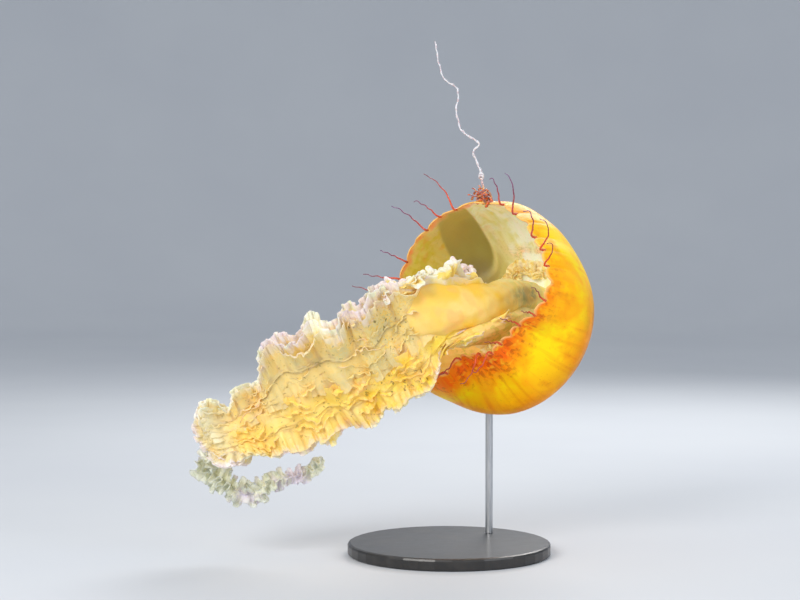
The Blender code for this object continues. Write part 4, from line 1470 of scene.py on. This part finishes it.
def finish_bell():
    share, fine = bell.share, bell.fine
    inside, hollow = bell.mark("inside").ramp(0.3, 0.7), bell.mark("hollow")
    pale = bell.towards(52, 0.52, 0.80) * (1 - hollow)
    warm = pale * share.near(0.40, 0.11) * fine.ramp(0.32, 0.55)
    colour = bell.mix(inside, outside, lining_colour(hollow, pale, warm))
    # painted glow: an emission of the bell's own colour that stands in for light coming through the
    # jelly; dimmed is the share of it held back, less on the pale lining and more in the hollow
    dimmed = 0.72 - inside * (0.22 * pale * (1 - warm) - 0.09 * hollow)
    painted_glow = bell.mix(dimmed.held(), colour, BLACK)
    # painted highlight: a pale peach line along the rim's edge, fainter at the notches
    painted_rim_highlight = share.ramp(0.985, 1.0) * (1 - bell.mark("notch") * 0.6)
    colour = bell.layers(colour, (painted_rim_highlight * 0.5, (250, 205, 140)))
    height = fine * 0.5 + bell.grain * 0.5 + bell.rays(200, 1) * 0.8
    return bell.set_flesh(
        colour, 0.30 + 0.22 * fine + 0.12 * bell.grain,
        (0.45, (0.9, 0.50, 0.20), 0.012), (0.06, 0.30), (height, 0.0006, 0.5), IOR=1.38,
        Specular_IOR_Level=0.20, Sheen_Weight=0.09, Sheen_Roughness=0.35,
        Sheen_Tint=(1.0, 0.84, 0.62), Emission_Color=painted_glow, Emission_Strength=0.36,
    )


bell_skin.data.materials.append(finish_bell())
print("bell finished with", len(bell.tree.nodes), "nodes")


# %% [markdown]
# ## Colours of the stalk and the gonads
# The stalk is smooth, pale yellow jelly, paler and greenish near its foot, with warm
# patches where it broadens and a mottled grey-green pit. The grooves between its pillars
# are dark, because little light gets there: that shade is painted. The stalk also gets a
# painted glow, an emission strongest near the bell, that stands in for light coming
# through the jelly. The gonads are pale gold, with painted shade towards the roots of
# their strips, down in their folds, and a faint painted glow.

# %% The stalk's finish
def stalk_finish():
    stalk = Finish("stalk_flesh_finish")
    along, core, lower = map(stalk.mark, ("along", "core", "lower"))
    soft, fine, grain = stalk.cloud(0.030), stalk.cloud(0.009, 3), stalk.cloud(0.0018)
    flecks = stalk.cloud(0.018, 1).ramp(0.50, 0.60)
    pale_flecks = stalk.cloud(0.014, 2).ramp(0.46, 0.58)
    pit = (stalk.mark("pit") + (stalk.cloud(0.012, 1) - 0.5) * 0.7).ramp(0.18, 0.85)
    mottled = stalk.layers(
        (116, 120, 100),
        (stalk.cloud(0.013, 1).ramp(0.42, 0.58), (166, 138, 92)),
        (stalk.cloud(0.010, 1).near(0.50, 0.05) * 0.55, (216, 180, 96)),
    )
    colour = stalk.layers(
        (242, 198, 72),
        (soft.ramp(0.40, 0.62), (244, 210, 118)),
        (stalk.cloud(0.020, 1).ramp(0.54, 0.66) * along.ramp(1.2, 1.6) * 0.7, (252, 188, 104)),
        (lower * 0.75, (248, 208, 130)),
        (lower * stalk.cloud(0.007, 1).ramp(0.50, 0.58) * 0.55, (196, 182, 70)),
        (along.ramp(1.55, 2.05) * 0.9, (248, 212, 124)),
        ((1.10 - along).ramp(0.0, 0.40) * 0.75, (236, 218, 148)),
        (flecks * (0.95 - along).ramp(0.0, 0.30) * 0.6, (212, 202, 100)),
        (fine.ramp(0.56, 0.72) * 0.30, (252, 204, 96)),
        # painted shade on the faces that turn in towards the stalk's axis, in its grooves
        (core.ramp(0.35, 0.85) * 0.8, (160, 132, 74)),
        (pale_flecks * (1.05 - along).ramp(0.0, 0.35) * 0.65, (226, 222, 160)),
        (pit * 0.85, mottled),
        # painted shade, darkest, in the openings near the stalk's foot
        (core.ramp(0.15, 0.6) * (0.55 - along).ramp(0.0, 0.2), (92, 84, 62)),
        (grain.ramp(0.62, 0.74) * 0.14, (180, 130, 60)),
    )
    # painted glow: an emission of the stalk's own colour, strongest near the bell, standing in for light
    # coming through the jelly
    painted_glow = stalk.mix(0.25 + 0.75 * (1.20 - along).ramp(0.0, 0.50), BLACK, colour)
    return stalk.set_flesh(
        colour, 0.34 + 0.2 * fine, (0.5, (0.9, 0.6, 0.3), 0.010), (0.10, 0.30),
        (fine + grain * 0.4, 0.0008, 0.5), IOR=1.38, Emission_Color=painted_glow, Emission_Strength=0.14,
    )


stalk_skin.data.materials.append(stalk_finish())
print("stalk finished")


# %% The gonads' finish
def gonad_finish():
    gonad = Finish("gonad_flesh_finish")
    edge, fine, soft = gonad.mark("edge"), gonad.cloud(0.0045, 2), gonad.cloud(0.014, 1)
    colour = gonad.layers(
        (234, 204, 122),
        (fine.ramp(0.42, 0.58), (248, 234, 182)),
        (soft.ramp(0.48, 0.58) * 0.6, (232, 206, 160)),
        # painted shade towards the roots of the strips, down in the folds
        ((1 - edge).ramp(0.4, 1.0) * 0.5, (190, 158, 92)),
    )
    # a faint painted glow: an emission of the gonads' own colour, standing in for light coming through
    # the jelly
    return gonad.set_flesh(
        colour, 0.36 + 0.2 * fine, (0.5, (0.9, 0.6, 0.3), 0.005), (0.12, 0.3),
        (fine, 0.0005, 0.6), Emission_Color=colour, Emission_Strength=0.12,
    )


gonads.data.materials.append(gonad_finish())
print("gonads finished")


# %% [markdown]
# ## Colours of the arms
# The arms go from golden yellow at the bell to peach and grey further out. Their lips
# are thick with colour near the rib and end in a clear, whitish, lacy edge. The mark
# called edge says how near the free edge a point is, and crest says whether it lies on
# top of a fold or in it, seen from the arm's outer face. Low crest gets painted shade:
# the folds are darker and hold dark flecks, and so does the root of a sheet that stands
# edge on. Fine yellow lines wind over the part nearest to the bell. The arms also get a
# faint painted glow, an emission that stands in for light coming through the jelly.

# %% The arms' finish
def arm_finish():
    arm = Finish("arm_flesh_finish")
    edge, along, crest, upper, lace = map(arm.mark, ("edge", "along", "crest", "upper", "lace"))
    soft, fine, grain = arm.cloud(0.040), arm.cloud(0.010, 3), arm.cloud(0.0020, 2)
    squiggle, rib = arm.cloud(0.0085, 2), 1 - edge.ramp(0.6, 0.9)
    near_bell = along.near(0.36, 0.20) * rib
    pinkish = (1 - upper) * edge.ramp(0.35, 0.75) * fine.ramp(0.42, 0.58)
    rose = upper * arm.cloud(0.026, 1).ramp(0.56, 0.66) * edge.ramp(0.4, 0.8)
    # painted shadows: dark flecks down in the folds, where crest is low
    fold_shadow_flecks = arm.cloud(0.0050, 1, (0.7, 1, 1.3)).ramp(0.66, 0.73) * (0.4 - crest).ramp(0, 0.8)
    dots = arm.cloud(0.0050, 1).ramp(0.665, 0.72) * rib
    tinge = arm.layers(
        (226, 232, 204),
        (soft.ramp(0.44, 0.54), (232, 216, 226)),
        (fine.ramp(0.50, 0.66) * 0.7, (250, 246, 234)),
    )
    frost = edge + 0.05 + 0.09 * upper + (fine - 0.5) * 0.7 + (grain - 0.5) * 0.25
    strand = along.ramp(0.99, 1.12)
    colour = arm.layers(
        (250, 210, 70),
        ((along + soft * 0.6).ramp(0.55, 1.05), (246, 214, 120)),
        (upper * (along + 0.3 * soft).ramp(0.12, 0.45) * 0.75, (222, 200, 144)),
        (arm.cloud(0.030, 2, (1, 1, 1.5)).ramp(0.48, 0.60) * 0.65, (248, 212, 134)),
        (arm.cloud(0.024, 2).ramp(0.54, 0.62) * (0.15 + 0.45 * upper), (214, 198, 140)),
        (pinkish * (1 - along.ramp(0.55, 0.9)) * 0.6, (250, 194, 118)),
        (along.near(0.86, 0.12) * fine.ramp(0.42, 0.58) * 0.6, (252, 204, 112)),
        (rose * 0.5, (230, 190, 176)),
        # painted shade: darker down in the folds
        ((0.0 - crest).ramp(0.0, 1.4) * (1 - edge.ramp(0.75, 1.0)) * 0.12, (220, 178, 80)),
        (fold_shadow_flecks * rib * 0.60, (136, 112, 50)),
        (squiggle.near(0.50, 0.034) * (0.25 + 0.75 * near_bell) * 0.70, (244, 190, 36)),
        (squiggle.near(0.455, 0.014) * near_bell * 0.55, (150, 122, 44)),
        (dots * (0.45 + 0.45 * near_bell), (116, 104, 50)),
        (along.near(0.96, 0.06) * 0.55, (230, 228, 200)),
        ((frost.ramp(0.76, 1.02) * lace).held() * 0.85, tinge),
        (strand * 0.85, (214, 220, 208)),
        (strand * fine.ramp(0.48, 0.60) * 0.60, (158, 162, 132)),
        (strand * soft.ramp(0.5, 0.60) * 0.6, (206, 190, 218)),
    )
    # a faint painted glow: an emission of the arms' own colour, standing in for light coming through the
    # thin jelly
    return arm.set_flesh(
        colour, 0.34 + 0.25 * fine, (0.55, (0.9, 0.78, 0.52), 0.007), (0.12, 0.25),
        (fine * 0.6 + grain * 0.6, 0.0005, 0.6), IOR=1.38, Emission_Color=colour,
        Emission_Strength=0.10,
    )


arm_paint = arm_finish()
for piece in (*arms, *end_frills, *mouth_lips, strand_frills):
    piece.data.materials.append(arm_paint)
print("arms finished")


# %% [markdown]
# ## Colours of the tentacles
# The tentacles are the darkest part: maroon and purple, red-orange where they leave the
# rim. The clump at the foot of the long thread is orange-brown with tan patches. The
# thread itself is a tentacle drawn out so thin that its colour is nearly gone.

# %% The tentacles' finishes
def tentacle_finish():
    whip = Finish("tentacle_flesh_finish")
    along, kind = whip.mark("along"), whip.mark("kind")
    beads = whip.cloud(0.0016, 1)
    colour = whip.layers(
        (224, 84, 30),
        ((along + kind * 0.4).ramp(0.25, 0.95), (128, 36, 58)),
        (along.ramp(0.45, 1.0) * kind * 0.8, (96, 48, 128)),
        (beads.ramp(0.55, 0.68) * 0.45, (84, 22, 30)),
    )
    return whip.set_flesh(
        colour, 0.36 + 0.2 * beads, (0.25, (0.8, 0.3, 0.2), 0.003), (0.2, 0.2), (beads, 0.0005, 0.6)
    )


def thread_finish():
    thread = Finish("thread_flesh_finish")
    along, beads = thread.mark("along"), thread.cloud(0.0030, 2)
    colour = thread.layers(
        (222, 104, 40),
        (beads.ramp(0.40, 0.60), (112, 50, 34)),
        (thread.cloud(0.008, 1).ramp(0.50, 0.60) * 0.8, (206, 160, 84)),
        (along.ramp(0.12, 0.22), (218, 216, 220)),
        (beads.ramp(0.50, 0.62) * 0.6, (168, 130, 140)),
    )
    return thread.set_flesh(
        colour, 0.32 + 0.2 * beads, (0.35, (0.8, 0.6, 0.5), 0.003), (0.2, 0.2), (beads, 0.0005, 0.6)
    )


tentacles_skin.data.materials.append(tentacle_finish())
long_thread_skin.data.materials.append(thread_finish())
print("tentacles finished")


# %% [markdown]
# ## The stand
# The stand is a turned wooden disc in satin black and a brushed steel rod. Both keep
# their solids, whose shapes are right. Only their finish changes: the lacquer has a
# faint grain and a little dust in its gloss, and the rod has fine lines along it.

# %% The stand's finishes
def base_finish():
    lacquer = Finish("base_lacquer_finish")
    rings = lacquer.cloud(0.020, 4, (1, 9, 1))
    dust, pores = lacquer.cloud(0.030, 5), lacquer.cloud(0.0009, 1, (0.12, 1, 1))
    colour = lacquer.layers(
        (24, 23, 23),
        (rings.ramp(0.35, 0.7), (38, 35, 33)),
        (dust.ramp(0.55, 0.75) * 0.10, (120, 116, 110)),
    )
    return lacquer.set(
        Base_Color=colour, Roughness=(0.26 + 0.22 * dust + 0.10 * rings).held(), Coat_Weight=0.3,
        Coat_Roughness=0.18, Normal=lacquer.bump(rings * 0.4 + pores * 0.6, 0.00025, 0.35),
    )


def rod_finish():
    steel = Finish("rod_steel_finish")
    lines, smears = steel.cloud(0.0006, 2, (1, 1, 0.03)), steel.cloud(0.020, 3)
    colour = steel.layers((176, 178, 182), (lines.ramp(0.3, 0.7), (204, 206, 208)))
    return steel.set(
        Base_Color=colour, Metallic=1.0, Roughness=(0.20 + 0.22 * lines + 0.10 * smears).held(),
        Normal=steel.bump(lines, 0.0002, 0.3),
    )


for node, finish in (("stand_base", base_finish()), ("stand_rod", rod_finish())):
    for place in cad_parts[node].material_slots:
        place.material = finish
print("stand finished")


# %% [markdown]
# ## Floor, light and camera
# A museum photographs such a model on a plain pale sweep of paper. The floor here is a
# wide dish that curves up on all sides, so there is no horizon from any of them. A large
# soft lamp from the front left gives the shapes, a fill from the right keeps the shadows
# open, and a lamp from behind shines through the thin edges. The camera looks level at
# the bell.

# %% The paper sweep
def build_sweep():
    flat, bend, top = 4.2, 1.8, 2.4
    turn = np.linspace(0, math.pi / 2, 13)
    profile = [
        (0.6, 0.0), (2.0, 0.0), *zip(flat + bend * np.sin(turn), bend - bend * np.cos(turn)),
        (flat + bend, top),
    ]
    sides, below_floor = 96, -0.0004
    around = math.tau * np.arange(sides) / sides
    points = [(0.0, 0.0, below_floor)]
    points += [(r * math.cos(a), r * math.sin(a), z + below_floor) for r, z in profile for a in around]
    faces = [(0, 1 + i, 1 + (i + 1) % sides) for i in range(sides)]
    faces += [(a, d, c, b) for a, b, c, d in ring_faces(len(profile), sides, 1)]
    mesh = bpy.data.meshes.new("paper_sweep")
    mesh.from_pydata(points, [], faces)
    mesh.shade_smooth()
    sweep = put_in_scene("paper_sweep", mesh)
    paper = Finish("paper_sweep_finish")
    tone = paper.layers((202, 206, 212), (paper.cloud(0.5, 3).ramp(0.3, 0.7), (206, 210, 215)))
    paper.set(Base_Color=tone, Roughness=0.85, Normal=paper.bump(paper.cloud(0.0012, 2), 0.0002, 0.2))
    mesh.materials.append(paper.material)
    sweep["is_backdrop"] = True


build_sweep()
low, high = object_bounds()
print("model from", [round(c, 3) for c in low], "to", [round(c, 3) for c in high])


# %% Lamps and the world's light
def lamp(name, place, aim, size, power, tint):
    light = bpy.data.lights.new(name, "AREA")
    light.shape, light.size, light.energy, light.color = "DISK", size, power, tint
    made = put_in_scene(name, light)
    made.location = place
    made.rotation_euler = (Vector(aim) - Vector(place)).to_track_quat("-Z", "Y").to_euler()


MIDDLE = ((low[0] + high[0]) / 2, (low[1] + high[1]) / 2, (low[2] + high[2]) / 2)
lamp("key_lamp", (-1.3, -1.9, 1.35), MIDDLE, 1.3, 46.0, (1.0, 0.97, 0.93))
lamp("fill_lamp", (1.9, -1.4, 0.9), MIDDLE, 1.6, 18.0, (0.95, 0.97, 1.0))
lamp("back_lamp", (0.5, 1.7, 1.5), MIDDLE, 1.2, 22.0, (1.0, 0.98, 0.95))
world = bpy.data.worlds.new("studio")
world.use_nodes = True
world.node_tree.nodes["Background"].inputs["Color"].default_value = (0.84, 0.88, 0.94, 1)
world.node_tree.nodes["Background"].inputs["Strength"].default_value = 0.68
bpy.context.scene.world = world
bpy.context.scene.view_settings.view_transform = "Standard"


# %% The camera
def place_camera():
    aim = Vector((-0.058, 0.0, 0.300))
    down = math.radians(2.5)
    distance = 2.3
    view = Vector((0, math.cos(down), -math.sin(down)))
    seen = bpy.data.cameras.new("camera")
    seen.sensor_width, seen.lens = 36.0, 88.0
    camera = put_in_scene("camera", seen)
    camera.location = aim - view * distance
    camera.rotation_euler = view.to_track_quat("-Z", "Y").to_euler()
    bpy.context.scene.camera = camera
    return camera


camera = place_camera()
print("camera at", [round(c, 3) for c in camera.location])
